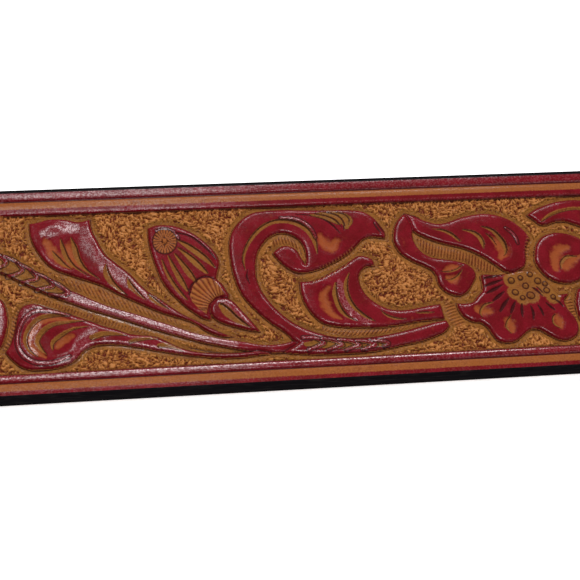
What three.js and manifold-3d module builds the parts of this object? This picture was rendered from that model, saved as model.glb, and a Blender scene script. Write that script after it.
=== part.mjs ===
// A western belt of tooled leather, laid out flat and unbuckled with its face up.
// Millimetres, +Z up. The strap runs along X, with the buckle at -X and the tip at +X.
// The origin is at the middle of the belt's length and width, on the surface that it lies on.

import * as THREE from "three";
import { mergeVertices } from "three/addons/utils/BufferGeometryUtils.js";
import Module from "manifold-3d";

const wasm = await Module();
wasm.setup();

// Driving dimensions

const STRAP_WIDTH = 38;
const STRAP_THICKNESS = 4;
const STRAP_LENGTH = 1080; // from the buckle's bar to the tip
const TIP_LENGTH = 27; // the stretch that rounds off at the tip
const TIP_BLUNT_WIDTH = 7; // the flat left at the very tip
const EDGE_BEVEL = 0.5; // black painted bevel beside the face
const EDGE_BEVEL_DROP = 0.4;
const BACK_BEVEL = 0.4;

const FLAP_LENGTH = 76; // the folded end, from the bar
const FLAP_THICKNESS = 2.4; // the leather is skived thinner for the fold
const SKIVE_LENGTH = 14; // from the bar to full thickness
const LANDING_LENGTH = 36; // where the strap comes down to the table past the flap

const RIM_WIDTH = 1.7; // from the edge to the outer border groove
const BAND_WIDTH = 1.7; // the plain band between the two border grooves
const INNER_RIM_WIDTH = 1.2; // from the inner groove to the tooled field
const GROOVE_WIDTH = 0.4;
const GROOVE_DEPTH = 0.3;
const FIELD_DEPTH = 0.4; // the tooled field is beaten down by this much
const FIELD_STEP = 0.3; // width of the slope down into the field

const REPEAT_LENGTH = 112; // one flower to the next
const REPEATS = 7;
const TOOLING_ROOM = 1; // between where the strap comes to lie flat and the tooled field
const TOOLING_FADE = 1.5;
const MOTIF_ROOT = 1.5; // how far a raised motif reaches into the leather under the field

const HOLE_COUNT = 5;
const HOLE_SPACING = 25;
const HOLE_DIAMETER = 5;
const HOLE_FROM_TIP = 70; // the tip to the nearest hole

const BAR_DIAMETER = 4.4;
const BUCKLE_LENGTH = 40; // from the bar's axis to the far end
const BUCKLE_ARM_WIDTH = 6.5;
const BUCKLE_END_WIDTH = 7;
const BUCKLE_THICKNESS = 4.4;
const BUCKLE_BEVEL = 0.9;
const BUCKLE_CORNER = 9;
const STRAP_SIDE_ROOM = 1; // each side of the strap, between the arms

const PRONG_WIDTH = 4.6;
const PRONG_THICKNESS = 3.4;
const PRONG_BEVEL = 0.7;
const PRONG_EYE_DIAMETER = 7.6;
const PRONG_OVERHANG = 1; // how far the prong stops short of the frame's outer side
const SLOT_ROOM = 1.2; // each side of the prong
const SLOT_REACH = 10; // from the bar, along each layer

const KEEPER_WIDTH = 12;
const KEEPER_THICKNESS = 1.8;
const KEEPER_ROOM = 5; // for the tail, over the strap's face
const KEEPER_SIDE_ROOM = 0.6;
const KEEPER_FROM_BAR = 42;
const KEEPER_CORNER = 1;

const POST_DIAMETER = 4;
const POST_HOLE_DIAMETER = 4.8;
const POST_HEAD_DIAMETER = 10;
const POST_HEAD_THICKNESS = 1;
const POST_HEAD_BEVEL = 0.4;
const POST_FRONT_FROM_BAR = 20;
const POST_BACK_FROM_BAR = 65;

const GAP = 0.3; // left between pieces that touch

// Meshing

const FOLD_STEPS = 10;
const RAMP_STEPS = 5;
const ROUND_SIDES = 18;
const HOLE_SIDES = 14;
const CURVE_STEPS = 5;
const TIP_STEPS = 8;
const MOTIF_STEPS = 2; // between two rows of a motif
const MOTIF_CAP_STEPS = 3;
const MOTIF_COARSENESS = 0.24;

const halfWidth = STRAP_WIDTH / 2;
const barRadius = BAR_DIAMETER / 2;
const foldRadius = barRadius + GAP;
const flapTop = POST_HEAD_THICKNESS + GAP + FLAP_THICKNESS;
const barHeight = flapTop + foldRadius;
const endLength = FLAP_LENGTH + LANDING_LENGTH; // past it the strap lies flat

// Solids

// A closed geometry as a solid that can be cut and joined.
function solidOf(geometry) {
  const bare = geometry.clone();
  bare.deleteAttribute("normal");
  bare.deleteAttribute("uv");
  const merged = mergeVertices(bare, 1e-4);
  return new wasm.Manifold(
    new wasm.Mesh({
      numProp: 3,
      vertProperties: merged.attributes.position.array,
      triVerts: new Uint32Array(merged.index.array),
    }),
  );
}

function geometryOf(solid) {
  const mesh = solid.getMesh();
  const geometry = new THREE.BufferGeometry();
  geometry.setAttribute("position", new THREE.BufferAttribute(mesh.vertProperties, 3));
  geometry.setIndex(new THREE.BufferAttribute(mesh.triVerts, 1));
  geometry.computeVertexNormals();
  return geometry;
}

// A round bar or hole along Z, centred at x, y and running from low to high.
function upright(x, y, low, high, radius, sides) {
  return new THREE.CylinderGeometry(radius, radius, high - low, sides)
    .rotateX(Math.PI / 2)
    .translate(x, y, (low + high) / 2);
}

const smooth = (share) => (1 - Math.cos(Math.PI * THREE.MathUtils.clamp(share, 0, 1))) / 2;

// The strap's course. Each station is a place along the upper layer, measured from the bar,
// with the height of the layer's flesh side over the flap's. It is level between the two
// places of a station, and eases from one station to the next.

const keeperLift = 2 * GAP + KEEPER_THICKNESS;
const courseStations = [
  { from: 0, to: 3, lift: 2 * foldRadius },
  {
    from: POST_FRONT_FROM_BAR - POST_HEAD_DIAMETER * 0.55,
    to: POST_FRONT_FROM_BAR + POST_HEAD_DIAMETER * 0.55,
    lift: (2 * foldRadius + keeperLift) / 2,
  },
  {
    from: KEEPER_FROM_BAR - KEEPER_WIDTH * 0.6,
    to: KEEPER_FROM_BAR + KEEPER_WIDTH * 0.6,
    lift: keeperLift,
  },
  { from: POST_BACK_FROM_BAR - POST_HEAD_DIAMETER * 0.6, to: FLAP_LENGTH + GAP, lift: GAP },
  { from: endLength, to: STRAP_LENGTH, lift: -flapTop },
];

function liftAt(distance) {
  for (let i = 0; i < courseStations.length; i++) {
    const here = courseStations[i];
    const next = courseStations[i + 1];
    if (distance <= here.to || !next) return here.lift;
    if (distance < next.from) {
      const share = (distance - here.to) / (next.from - here.to);
      return THREE.MathUtils.lerp(here.lift, next.lift, smooth(share));
    }
  }
}

const fleshHeightAt = (distance) => flapTop + liftAt(distance);
const thicknessAt = (distance) =>
  THREE.MathUtils.lerp(FLAP_THICKNESS, STRAP_THICKNESS, smooth(distance / SKIVE_LENGTH));
const faceHeightAt = (distance) => fleshHeightAt(distance) + thicknessAt(distance);

// The direction out of the strap's face at a place along it.
function outwardAt(distance) {
  const slope = (fleshHeightAt(distance + GAP) - fleshHeightAt(distance - GAP)) / (2 * GAP);
  const length = Math.hypot(slope, 1);
  return { outX: -slope / length, outZ: 1 / length };
}

// How far the border grooves and the field are pressed in, from 0 to 1, at a place on the strap.
const toolingStart = endLength + TOOLING_ROOM;
const toolingEnd = toolingStart + REPEATS * REPEAT_LENGTH;
const grooveShareAt = (distance) => smooth((distance - SKIVE_LENGTH) / TOOLING_FADE);
const fieldShareAt = (distance) =>
  Math.min(
    smooth((distance - toolingStart) / TOOLING_FADE),
    smooth((toolingEnd - distance) / TOOLING_FADE),
  );

// The tip rounds off along a quarter ellipse down to its blunt end.
function halfWidthAt(distance) {
  const past = distance - (STRAP_LENGTH - TIP_LENGTH);
  if (past <= 0) return halfWidth;
  const share = Math.min(past / TIP_LENGTH, 1);
  const blunt = TIP_BLUNT_WIDTH / 2;
  return blunt + (halfWidth - blunt) * Math.sqrt(Math.max(1 - share ** 2.4, 0));
}

// Half of the strap's section, from the middle of its face to the middle of its back:
// how far in from the edge each point lies, and how deep under the face.
function halfSection(thickness, grooveShare, fieldShare) {
  const outerGroove = RIM_WIDTH;
  const innerGroove = outerGroove + BAND_WIDTH;
  const fieldEdge = innerGroove + INNER_RIM_WIDTH;
  const groove = (at) => [
    { inset: at + GROOVE_WIDTH / 2, depth: 0 },
    { inset: at, depth: GROOVE_DEPTH * grooveShare },
    { inset: at - GROOVE_WIDTH / 2, depth: 0 },
  ];
  return [
    { inset: halfWidth, depth: FIELD_DEPTH * fieldShare },
    { inset: fieldEdge + FIELD_STEP, depth: FIELD_DEPTH * fieldShare },
    { inset: fieldEdge, depth: 0 },
    ...groove(innerGroove),
    ...groove(outerGroove),
    { inset: EDGE_BEVEL, depth: 0 },
    { inset: 0, depth: EDGE_BEVEL_DROP },
    { inset: 0, depth: thickness - BACK_BEVEL },
    { inset: BACK_BEVEL, depth: thickness },
    { inset: halfWidth, depth: thickness },
  ];
}

// One section of the strap in space. The flesh side's middle is at (x, z), and the face lies
// along the direction (outX, outZ) from it.
function sectionAt({ x, z, outX, outZ, thickness, width, groove, field }) {
  const half = halfSection(thickness, groove, field);
  const side = (sign) =>
    half.map(({ inset, depth }) => {
      const rise = thickness - depth;
      const across = sign * width * (1 - inset / halfWidth);
      return new THREE.Vector3(x + outX * rise, across, z + outZ * rise);
    });
  return [...side(1), ...side(-1).slice(1, -1).reverse()];
}

// A closed solid through a row of sections with the same number of points.
function loft(sections) {
  const count = sections[0].length;
  const positions = sections.flat().flatMap((p) => [p.x, p.y, p.z]);
  const index = [];
  for (let s = 0; s + 1 < sections.length; s++)
    for (let i = 0; i < count; i++) {
      const a = s * count + i;
      const b = s * count + ((i + 1) % count);
      index.push(a, a + count, b, b, a + count, b + count);
    }
  const cap = (section, first, flip) => {
    const normal = section[1].clone().sub(section[0]).normalize();
    const up = section[count / 2].clone().sub(section[0]).normalize();
    const flat = section.map((p) => new THREE.Vector2(p.dot(normal), p.dot(up)));
    for (const [a, b, c] of THREE.ShapeUtils.triangulateShape(flat, []))
      index.push(first + a, first + (flip ? c : b), first + (flip ? b : c));
  };
  cap(sections[0], 0, false);
  cap(sections.at(-1), (sections.length - 1) * count, true);
  const geometry = new THREE.BufferGeometry();
  geometry.setAttribute("position", new THREE.Float32BufferAttribute(positions, 3));
  geometry.setIndex(index);
  return geometry;
}

// The raised motifs of one repeat: the middle line of each and its half-width. Places along are
// shares of the repeat's length, and the rest are shares of half the field's width.
const MOTIFS = {
  upperLeaf: [
    { along: 0.082, across: 0.646, half: 0.271 },
    { along: 0.096, across: 0.528, half: 0.319 },
    { along: 0.121, across: 0.319, half: 0.271 },
    { along: 0.152, across: 0.132, half: 0.188 },
    { along: 0.188, across: -0.062, half: 0.111 },
    { along: 0.232, across: -0.292, half: 0.062 },
    { along: 0.286, across: -0.528, half: 0.035 },
  ],
  stem: [
    { along: 0.000, across: 0.351, half: 0.125 },
    { along: 0.054, across: 0.097, half: 0.108 },
    { along: 0.107, across: -0.139, half: 0.073 },
    { along: 0.170, across: -0.340, half: 0.059 },
    { along: 0.250, across: -0.597, half: 0.056 },
    { along: 0.339, across: -0.819, half: 0.056 },
    { along: 0.402, across: -0.882, half: 0.052 },
  ],
  lowerLeaf: [
    { along: 0.062, across: -0.597, half: 0.361 },
    { along: 0.080, across: -0.667, half: 0.312 },
    { along: 0.112, across: -0.618, half: 0.188 },
    { along: 0.152, across: -0.625, half: 0.104 },
    { along: 0.196, across: -0.701, half: 0.076 },
    { along: 0.250, across: -0.826, half: 0.042 },
    { along: 0.321, across: -0.931, half: 0.035 },
  ],
  bud: [
    { along: 0.242, across: 0.576, half: 0.194 },
    { along: 0.264, across: 0.389, half: 0.278 },
    { along: 0.282, across: 0.153, half: 0.278 },
    { along: 0.295, across: -0.111, half: 0.181 },
    { along: 0.296, across: -0.347, half: 0.069 },
  ],
  budDrop: [
    { along: 0.322, across: -0.361, half: 0.125 },
    { along: 0.343, across: -0.472, half: 0.090 },
    { along: 0.370, across: -0.625, half: 0.028 },
  ],
  scroll: [
    { along: 0.432, across: -0.792, half: 0.035 },
    { along: 0.396, across: -0.479, half: 0.118 },
    { along: 0.367, across: -0.097, half: 0.146 },
    { along: 0.361, across: 0.306, half: 0.153 },
    { along: 0.379, across: 0.639, half: 0.181 },
    { along: 0.424, across: 0.757, half: 0.160 },
    { along: 0.473, across: 0.715, half: 0.167 },
    { along: 0.522, across: 0.625, half: 0.236 },
    { along: 0.558, across: 0.660, half: 0.181 },
    { along: 0.579, across: 0.583, half: 0.069 },
  ],
  scrollHook: [
    { along: 0.438, across: 0.694, half: 0.104 },
    { along: 0.459, across: 0.556, half: 0.083 },
    { along: 0.466, across: 0.347, half: 0.069 },
    { along: 0.470, across: 0.194, half: 0.083 },
  ],
  scrollBowl: [
    { along: 0.516, across: 0.542, half: 0.167 },
    { along: 0.505, across: 0.347, half: 0.181 },
    { along: 0.473, across: 0.222, half: 0.132 },
    { along: 0.438, across: 0.236, half: 0.160 },
    { along: 0.416, across: 0.312, half: 0.049 },
  ],
  curledLeaf: [
    { along: 0.550, across: 0.167, half: 0.069 },
    { along: 0.523, across: 0.062, half: 0.139 },
    { along: 0.495, across: -0.153, half: 0.306 },
    { along: 0.496, across: -0.306, half: 0.319 },
    { along: 0.516, across: -0.458, half: 0.208 },
    { along: 0.554, across: -0.549, half: 0.132 },
    { along: 0.598, across: -0.562, half: 0.083 },
    { along: 0.652, across: -0.528, half: 0.090 },
  ],
  lowerStem: [
    { along: 0.393, across: -0.889, half: 0.056 },
    { along: 0.446, across: -0.875, half: 0.090 },
    { along: 0.509, across: -0.896, half: 0.090 },
    { along: 0.571, across: -0.861, half: 0.087 },
    { along: 0.616, across: -0.799, half: 0.090 },
    { along: 0.657, across: -0.715, half: 0.069 },
  ],
  backLobe: [
    { along: 0.627, across: 0.708, half: 0.090 },
    { along: 0.614, across: 0.556, half: 0.125 },
    { along: 0.614, across: 0.389, half: 0.132 },
    { along: 0.634, across: 0.229, half: 0.118 },
    { along: 0.665, across: 0.042, half: 0.111 },
    { along: 0.688, across: -0.097, half: 0.222 },
  ],
  broadLeaf: [
    { along: 0.639, across: 0.632, half: 0.104 },
    { along: 0.675, across: 0.514, half: 0.132 },
    { along: 0.714, across: 0.500, half: 0.208 },
    { along: 0.754, across: 0.417, half: 0.292 },
    { along: 0.777, across: 0.264, half: 0.250 },
    { along: 0.780, across: 0.097, half: 0.146 },
  ],
  petalLeft: [
    { along: 0.691, across: -0.507, half: 0.076 },
    { along: 0.714, across: -0.528, half: 0.160 },
    { along: 0.746, across: -0.389, half: 0.174 },
    { along: 0.786, across: -0.292, half: 0.208 },
  ],
  petalMiddle: [
    { along: 0.790, across: -0.347, half: 0.208 },
    { along: 0.768, across: -0.597, half: 0.194 },
    { along: 0.754, across: -0.785, half: 0.167 },
  ],
  petalRight: [
    { along: 0.808, across: -0.347, half: 0.208 },
    { along: 0.830, across: -0.625, half: 0.208 },
    { along: 0.838, across: -0.771, half: 0.194 },
  ],
  roundPetal: [
    { along: 0.859, across: 0.111, half: 0.333 },
    { along: 0.873, across: 0.097, half: 0.326 },
  ],
  upperScroll: [
    { along: 0.828, across: 0.688, half: 0.056 },
    { along: 0.862, across: 0.736, half: 0.132 },
    { along: 0.902, across: 0.715, half: 0.174 },
    { along: 0.946, across: 0.604, half: 0.160 },
    { along: 1.000, across: 0.351, half: 0.125 },
  ],
  rightLeaf: [
    { along: 0.888, across: -0.597, half: 0.160 },
    { along: 0.915, across: -0.597, half: 0.271 },
    { along: 0.960, across: -0.458, half: 0.347 },
    { along: 0.982, across: -0.375, half: 0.229 },
  ],
};

const fieldHalf = halfWidth - RIM_WIDTH - BAND_WIDTH - INNER_RIM_WIDTH;

// One motif's outline, along its one side, round its end and back along the other.
function motifOutline(rows) {
  const points = rows.map(
    ({ along, across, half }) =>
      new THREE.Vector3(along * REPEAT_LENGTH, across * fieldHalf, half * fieldHalf),
  );
  const curve = new THREE.CatmullRomCurve3(points);
  const steps = (rows.length - 1) * MOTIF_STEPS;
  const line = Array.from({ length: steps + 1 }, (_, i) => curve.getPoint(i / steps));
  const heading = (i) => {
    const from = line[Math.max(i - 1, 0)];
    const to = line[Math.min(i + 1, steps)];
    return Math.atan2(to.y - from.y, to.x - from.x);
  };
  const offset = (i, turn) => {
    const angle = heading(i) + turn;
    return [line[i].x + line[i].z * Math.cos(angle), line[i].y + line[i].z * Math.sin(angle)];
  };
  const cap = (i, start) =>
    Array.from({ length: MOTIF_CAP_STEPS }, (_, k) =>
      offset(i, start + (Math.PI * (k + 1)) / (MOTIF_CAP_STEPS + 1)),
    );
  const right = line.map((_, i) => offset(i, -Math.PI / 2));
  const left = line.map((_, i) => offset(i, Math.PI / 2)).reverse();
  return [...right, ...cap(steps, -Math.PI / 2), ...left, ...cap(0, Math.PI / 2)];
}

// The joined outlines of one repeat's motifs, as shapes with their openings.
function motifShapes() {
  const joined = wasm.CrossSection.union(
    Object.values(MOTIFS).map((rows) => new wasm.CrossSection([motifOutline(rows)], "NonZero")),
  ).simplify(MOTIF_COARSENESS);
  const paths = new THREE.ShapePath();
  for (const polygon of joined.toPolygons()) {
    polygon.forEach(([x, y], i) => (i ? paths.lineTo(x, y) : paths.moveTo(x, y)));
    paths.currentPath.closePath();
  }
  return paths.toShapes(true);
}

// Raised motifs of every repeat, up to the level of the strap's face.
function motifSolids() {
  const depth = FIELD_DEPTH + MOTIF_ROOT;
  const motifs = solidOf(
    new THREE.ExtrudeGeometry(motifShapes(), { depth, bevelEnabled: false }),
  );
  return Array.from({ length: REPEATS }, (_, repeat) =>
    motifs.translate([toolingStart + repeat * REPEAT_LENGTH, 0, STRAP_THICKNESS - depth]),
  );
}

// Strap

function flapSections() {
  const at = (distance) =>
    sectionAt({
      x: distance,
      z: flapTop,
      outX: 0,
      outZ: -1,
      thickness: FLAP_THICKNESS,
      width: halfWidth,
      groove: 0,
      field: 0,
    });
  return [at(FLAP_LENGTH), at(SLOT_REACH)];
}

function foldSections() {
  return Array.from({ length: FOLD_STEPS + 1 }, (_, i) => {
    const angle = Math.PI * (i / FOLD_STEPS - 0.5);
    const outX = -Math.cos(angle);
    const outZ = Math.sin(angle);
    return sectionAt({
      x: outX * foldRadius,
      z: barHeight + outZ * foldRadius,
      outX,
      outZ,
      thickness: FLAP_THICKNESS,
      width: halfWidth,
      groove: 0,
      field: 0,
    });
  });
}

// The places along the upper layer that need a section of their own.
function courseDistances() {
  const found = [];
  courseStations.forEach((here, i) => {
    const next = courseStations[i + 1];
    found.push(here.from, here.to);
    for (let s = 1; next && s < RAMP_STEPS; s++)
      found.push(THREE.MathUtils.lerp(here.to, next.from, s / RAMP_STEPS));
  });
  for (let s = 1; s <= RAMP_STEPS / 2; s++) found.push((SKIVE_LENGTH * 2 * s) / RAMP_STEPS);
  found.push(SKIVE_LENGTH + TOOLING_FADE, toolingStart, toolingStart + TOOLING_FADE);
  found.push(toolingEnd - TOOLING_FADE, toolingEnd);
  for (let s = 0; s <= TIP_STEPS; s++)
    found.push(STRAP_LENGTH - TIP_LENGTH * (1 - Math.sin((Math.PI * s) / (2 * TIP_STEPS))));
  found.sort((a, b) => a - b);
  return found.filter((d, i) => d > 0 && (i === 0 || d - found[i - 1] > GAP / 2));
}

function upperSections() {
  return courseDistances().map((distance) => {
    const { outX, outZ } = outwardAt(distance);
    return sectionAt({
      x: distance,
      z: fleshHeightAt(distance),
      outX,
      outZ,
      thickness: thicknessAt(distance),
      width: halfWidthAt(distance),
      groove: grooveShareAt(distance),
      field: fieldShareAt(distance),
    });
  });
}

const holePlaces = Array.from(
  { length: HOLE_COUNT },
  (_, i) => STRAP_LENGTH - HOLE_FROM_TIP - i * HOLE_SPACING,
);

function strapSolid() {
  const above = barHeight + foldRadius + STRAP_THICKNESS + 1;
  const through = (x, diameter) =>
    solidOf(upright(x, 0, -1, above, diameter / 2, HOLE_SIDES));
  const slotHalf = PRONG_WIDTH / 2 + SLOT_ROOM;
  const slot = new THREE.Shape()
    .moveTo(-2 * SLOT_REACH, -slotHalf)
    .lineTo(SLOT_REACH - slotHalf, -slotHalf)
    .absarc(SLOT_REACH - slotHalf, 0, slotHalf, -Math.PI / 2, Math.PI / 2)
    .lineTo(-2 * SLOT_REACH, slotHalf);
  const slotCutter = new THREE.ExtrudeGeometry(slot, {
    depth: above + 1,
    bevelEnabled: false,
    curveSegments: HOLE_SIDES / 2,
  }).translate(0, 0, -1);
  const plain = solidOf(loft([...flapSections(), ...foldSections(), ...upperSections()]));
  const leather = motifSolids().reduce((left, motifs) => left.add(motifs), plain);
  const cutters = [
    solidOf(slotCutter),
    through(POST_FRONT_FROM_BAR, POST_HOLE_DIAMETER),
    through(POST_BACK_FROM_BAR, POST_HOLE_DIAMETER),
    ...holePlaces.map((x) => through(x, HOLE_DIAMETER)),
  ];
  return cutters.reduce((left, cutter) => left.subtract(cutter), leather);
}

const strap = strapSolid();

// The stretch of the strap between two distances from the bar. Its folded end is a node of its
// own, up to where the strap lies flat.
function strapStretch(from, to) {
  const tall = 4 * barHeight;
  const box = new THREE.BoxGeometry(to - from, 2 * STRAP_WIDTH, tall);
  return geometryOf(strap.intersect(solidOf(box.translate((from + to) / 2, 0, 0))));
}

// Keeper

function roundedRectangle(path, low, high, corner) {
  return path
    .moveTo(low.x + corner, low.y)
    .lineTo(high.x - corner, low.y)
    .absarc(high.x - corner, low.y + corner, corner, -Math.PI / 2, 0)
    .lineTo(high.x, high.y - corner)
    .absarc(high.x - corner, high.y - corner, corner, 0, Math.PI / 2)
    .lineTo(low.x + corner, high.y)
    .absarc(low.x + corner, high.y - corner, corner, Math.PI / 2, Math.PI)
    .lineTo(low.x, low.y + corner)
    .absarc(low.x + corner, low.y + corner, corner, Math.PI, 1.5 * Math.PI);
}

const keeperInner = {
  half: halfWidth + KEEPER_SIDE_ROOM,
  low: fleshHeightAt(KEEPER_FROM_BAR) - GAP,
  high: faceHeightAt(KEEPER_FROM_BAR) + KEEPER_ROOM,
};

function keeperGeometry() {
  const { half, low, high } = keeperInner;
  const outer = half + KEEPER_THICKNESS;
  const ring = roundedRectangle(
    new THREE.Shape(),
    new THREE.Vector2(-outer, low - KEEPER_THICKNESS),
    new THREE.Vector2(outer, high + KEEPER_THICKNESS),
    KEEPER_CORNER + KEEPER_THICKNESS,
  );
  const inside = roundedRectangle(
    new THREE.Path(),
    new THREE.Vector2(-half, low),
    new THREE.Vector2(half, high),
    KEEPER_CORNER,
  );
  ring.holes.push(inside);
  return new THREE.ExtrudeGeometry(ring, {
    depth: KEEPER_WIDTH,
    bevelEnabled: false,
    curveSegments: CURVE_STEPS,
  })
    .applyMatrix4(
      new THREE.Matrix4().makeBasis(
        new THREE.Vector3(0, 1, 0),
        new THREE.Vector3(0, 0, 1),
        new THREE.Vector3(1, 0, 0),
      ),
    )
    .translate(KEEPER_FROM_BAR - KEEPER_WIDTH / 2, 0, 0);
}

// Posts

function postGeometry(distance) {
  const shaft = POST_DIAMETER / 2;
  const head = POST_HEAD_DIAMETER / 2;
  const upper = faceHeightAt(distance) + GAP;
  const top = upper + POST_HEAD_THICKNESS;
  const profile = [
    [0, 0],
    [head - POST_HEAD_BEVEL, 0],
    [head, POST_HEAD_BEVEL],
    [head, POST_HEAD_THICKNESS],
    [shaft, POST_HEAD_THICKNESS],
    [shaft, upper],
    [head, upper],
    [head, top - POST_HEAD_BEVEL],
    [head - POST_HEAD_BEVEL, top],
    [0, top],
  ].map(([radius, height]) => new THREE.Vector2(radius, height));
  return new THREE.LatheGeometry(profile, ROUND_SIDES)
    .rotateX(Math.PI / 2)
    .translate(distance, 0, 0);
}

// Buckle: made round its bar's axis, with the frame flat, then tipped until its far end rests
// on the table.

const armInner = halfWidth + STRAP_SIDE_ROOM;
const armOuter = armInner + BUCKLE_ARM_WIDTH;
const buckleHalf = BUCKLE_THICKNESS / 2;
const buckleTilt =
  Math.asin(barHeight / Math.hypot(BUCKLE_LENGTH - BUCKLE_BEVEL, buckleHalf)) -
  Math.atan2(buckleHalf, BUCKLE_LENGTH - BUCKLE_BEVEL);

function frameGeometry() {
  const far = -BUCKLE_LENGTH;
  const near = barRadius;
  const windowFar = far + BUCKLE_END_WIDTH;
  const innerCorner = Math.max(BUCKLE_CORNER - BUCKLE_END_WIDTH, 1);
  const outline = new THREE.Shape()
    .moveTo(near, -armOuter)
    .lineTo(near, -armInner)
    .lineTo(windowFar + innerCorner, -armInner)
    .absarc(windowFar + innerCorner, -armInner + innerCorner, innerCorner, -Math.PI / 2, Math.PI, true)
    .lineTo(windowFar, armInner - innerCorner)
    .absarc(windowFar + innerCorner, armInner - innerCorner, innerCorner, Math.PI, Math.PI / 2, true)
    .lineTo(near, armInner)
    .lineTo(near, armOuter)
    .lineTo(far + BUCKLE_CORNER, armOuter)
    .absarc(far + BUCKLE_CORNER, armOuter - BUCKLE_CORNER, BUCKLE_CORNER, Math.PI / 2, Math.PI)
    .lineTo(far, -armOuter + BUCKLE_CORNER)
    .absarc(far + BUCKLE_CORNER, -armOuter + BUCKLE_CORNER, BUCKLE_CORNER, Math.PI, 1.5 * Math.PI);
  return new THREE.ExtrudeGeometry(outline, {
    depth: BUCKLE_THICKNESS - 2 * BUCKLE_BEVEL,
    bevelThickness: BUCKLE_BEVEL,
    bevelSize: BUCKLE_BEVEL,
    bevelOffset: -BUCKLE_BEVEL,
    bevelSegments: 2,
    curveSegments: CURVE_STEPS,
  }).translate(0, 0, BUCKLE_BEVEL - buckleHalf);
}

function prongGeometry() {
  const eye = PRONG_EYE_DIAMETER / 2;
  const under = buckleHalf - PRONG_BEVEL / 2;
  const top = under + PRONG_THICKNESS;
  const tip = -BUCKLE_LENGTH + PRONG_OVERHANG + PRONG_THICKNESS / 2;
  const bend = -2 * eye;
  const outline = new THREE.Shape()
    .moveTo(0, eye)
    .quadraticCurveTo(-eye, top, bend, top)
    .lineTo(tip, top)
    .quadraticCurveTo(tip - PRONG_THICKNESS / 2, top, tip - PRONG_THICKNESS / 2, under)
    .lineTo(bend, under)
    .quadraticCurveTo(-eye, under, -eye / 2, 0)
    .lineTo(0, 0);
  const depth = PRONG_WIDTH - 2 * PRONG_BEVEL;
  return new THREE.ExtrudeGeometry(outline, {
    depth,
    bevelThickness: PRONG_BEVEL,
    bevelSize: PRONG_BEVEL,
    bevelOffset: -PRONG_BEVEL,
    bevelSegments: 2,
    curveSegments: CURVE_STEPS,
  })
    .translate(0, 0, -depth / 2)
    .rotateX(Math.PI / 2);
}

function buckleGeometry() {
  const acrossY = (radius, length) => new THREE.CylinderGeometry(radius, radius, length, ROUND_SIDES);
  const armMiddle = 2 * armInner + BUCKLE_ARM_WIDTH;
  const pieces = [
    frameGeometry(),
    acrossY(barRadius, armMiddle),
    acrossY(PRONG_EYE_DIAMETER / 2, PRONG_WIDTH),
    prongGeometry(),
  ].map(solidOf);
  const whole = pieces.reduce((left, piece) => left.add(piece));
  return geometryOf(whole).rotateY(-buckleTilt).translate(0, 0, barHeight);
}

// Belt

const toolingLeather = new THREE.MeshStandardMaterial({
  color: 0x7a2a22,
  roughness: 0.42,
  metalness: 0,
});
const plainMetal = new THREE.MeshStandardMaterial({
  color: 0xb9b6ae,
  roughness: 0.28,
  metalness: 1,
});

function named(name, geometry, material) {
  const mesh = new THREE.Mesh(geometry, material);
  mesh.name = name;
  return mesh;
}

const belt = new THREE.Group();
const buckle = named("buckle", buckleGeometry(), plainMetal);
belt.add(
  named("strap_end", strapStretch(-STRAP_WIDTH, endLength), toolingLeather),
  named("strap", strapStretch(endLength + GAP, STRAP_LENGTH + STRAP_WIDTH), toolingLeather),
  named("keeper", keeperGeometry(), toolingLeather),
  buckle,
  named("post_front", postGeometry(POST_FRONT_FROM_BAR), plainMetal),
  named("post_back", postGeometry(POST_BACK_FROM_BAR), plainMetal),
);

// Half of the belt's length lies each side of the origin.
buckle.geometry.computeBoundingBox();
belt.position.x = -(STRAP_LENGTH + buckle.geometry.boundingBox.min.x) / 2;

export default belt;
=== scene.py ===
"""A western belt of tooled leather, laid out flat with its face up, in metres with +Z up.

The tooling is worked out in the photograph's own millimetres: u runs along the belt from the middle of
the photograph, v across it towards the upper border, and a height of 0 is the level of the strap's face.
"""

import logging
import math
from collections.abc import Callable
from dataclasses import dataclass, field
from enum import Enum

import bpy
import numpy as np
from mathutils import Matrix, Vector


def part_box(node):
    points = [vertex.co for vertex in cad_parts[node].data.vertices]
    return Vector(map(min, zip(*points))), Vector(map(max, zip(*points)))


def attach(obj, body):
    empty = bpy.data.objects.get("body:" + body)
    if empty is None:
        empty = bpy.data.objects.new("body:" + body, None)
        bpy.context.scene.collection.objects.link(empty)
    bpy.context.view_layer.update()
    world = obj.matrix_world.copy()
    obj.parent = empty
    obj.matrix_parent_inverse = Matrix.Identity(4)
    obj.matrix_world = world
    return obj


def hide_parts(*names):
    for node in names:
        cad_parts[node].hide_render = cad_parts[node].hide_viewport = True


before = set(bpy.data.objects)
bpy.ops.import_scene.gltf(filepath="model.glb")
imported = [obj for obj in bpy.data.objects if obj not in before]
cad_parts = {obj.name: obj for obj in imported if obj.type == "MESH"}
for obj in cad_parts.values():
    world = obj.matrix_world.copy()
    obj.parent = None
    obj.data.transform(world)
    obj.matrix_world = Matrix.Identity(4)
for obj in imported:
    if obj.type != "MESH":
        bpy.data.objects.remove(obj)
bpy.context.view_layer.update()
LOG = logging.getLogger("belt")
MM = 0.001

Point = tuple[float, float]
Knot = tuple[float, float, float]
Mark = tuple[float | Knot, ...]
Triple = tuple[float, float, float]
Colour = tuple[float, float, float, float]
Object = bpy.types.Object
Material = bpy.types.Material
Array = np.ndarray


class Finish(Enum):
    """The record's material slots."""

    TOOLED = "tooled_leather"
    PLAIN = "keeper_leather"
    METAL = "buckle_metal"


class Stroke(Enum):
    """How a long, narrow mark is worked into the leather: each value names the method of ToolPass that does it.

    A mark is its depth, or the gloss that a polish adds with its painted pink sheen, and then places along its
    middle, each with the half-width there.
    """

    HOLLOW = "hollow"
    BOWL = "bowl"
    SLIT = "slit"
    CUT = "cut"
    BARE = "bare"
    RIDGE = "ridge"
    POLISH = "polish"


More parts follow.
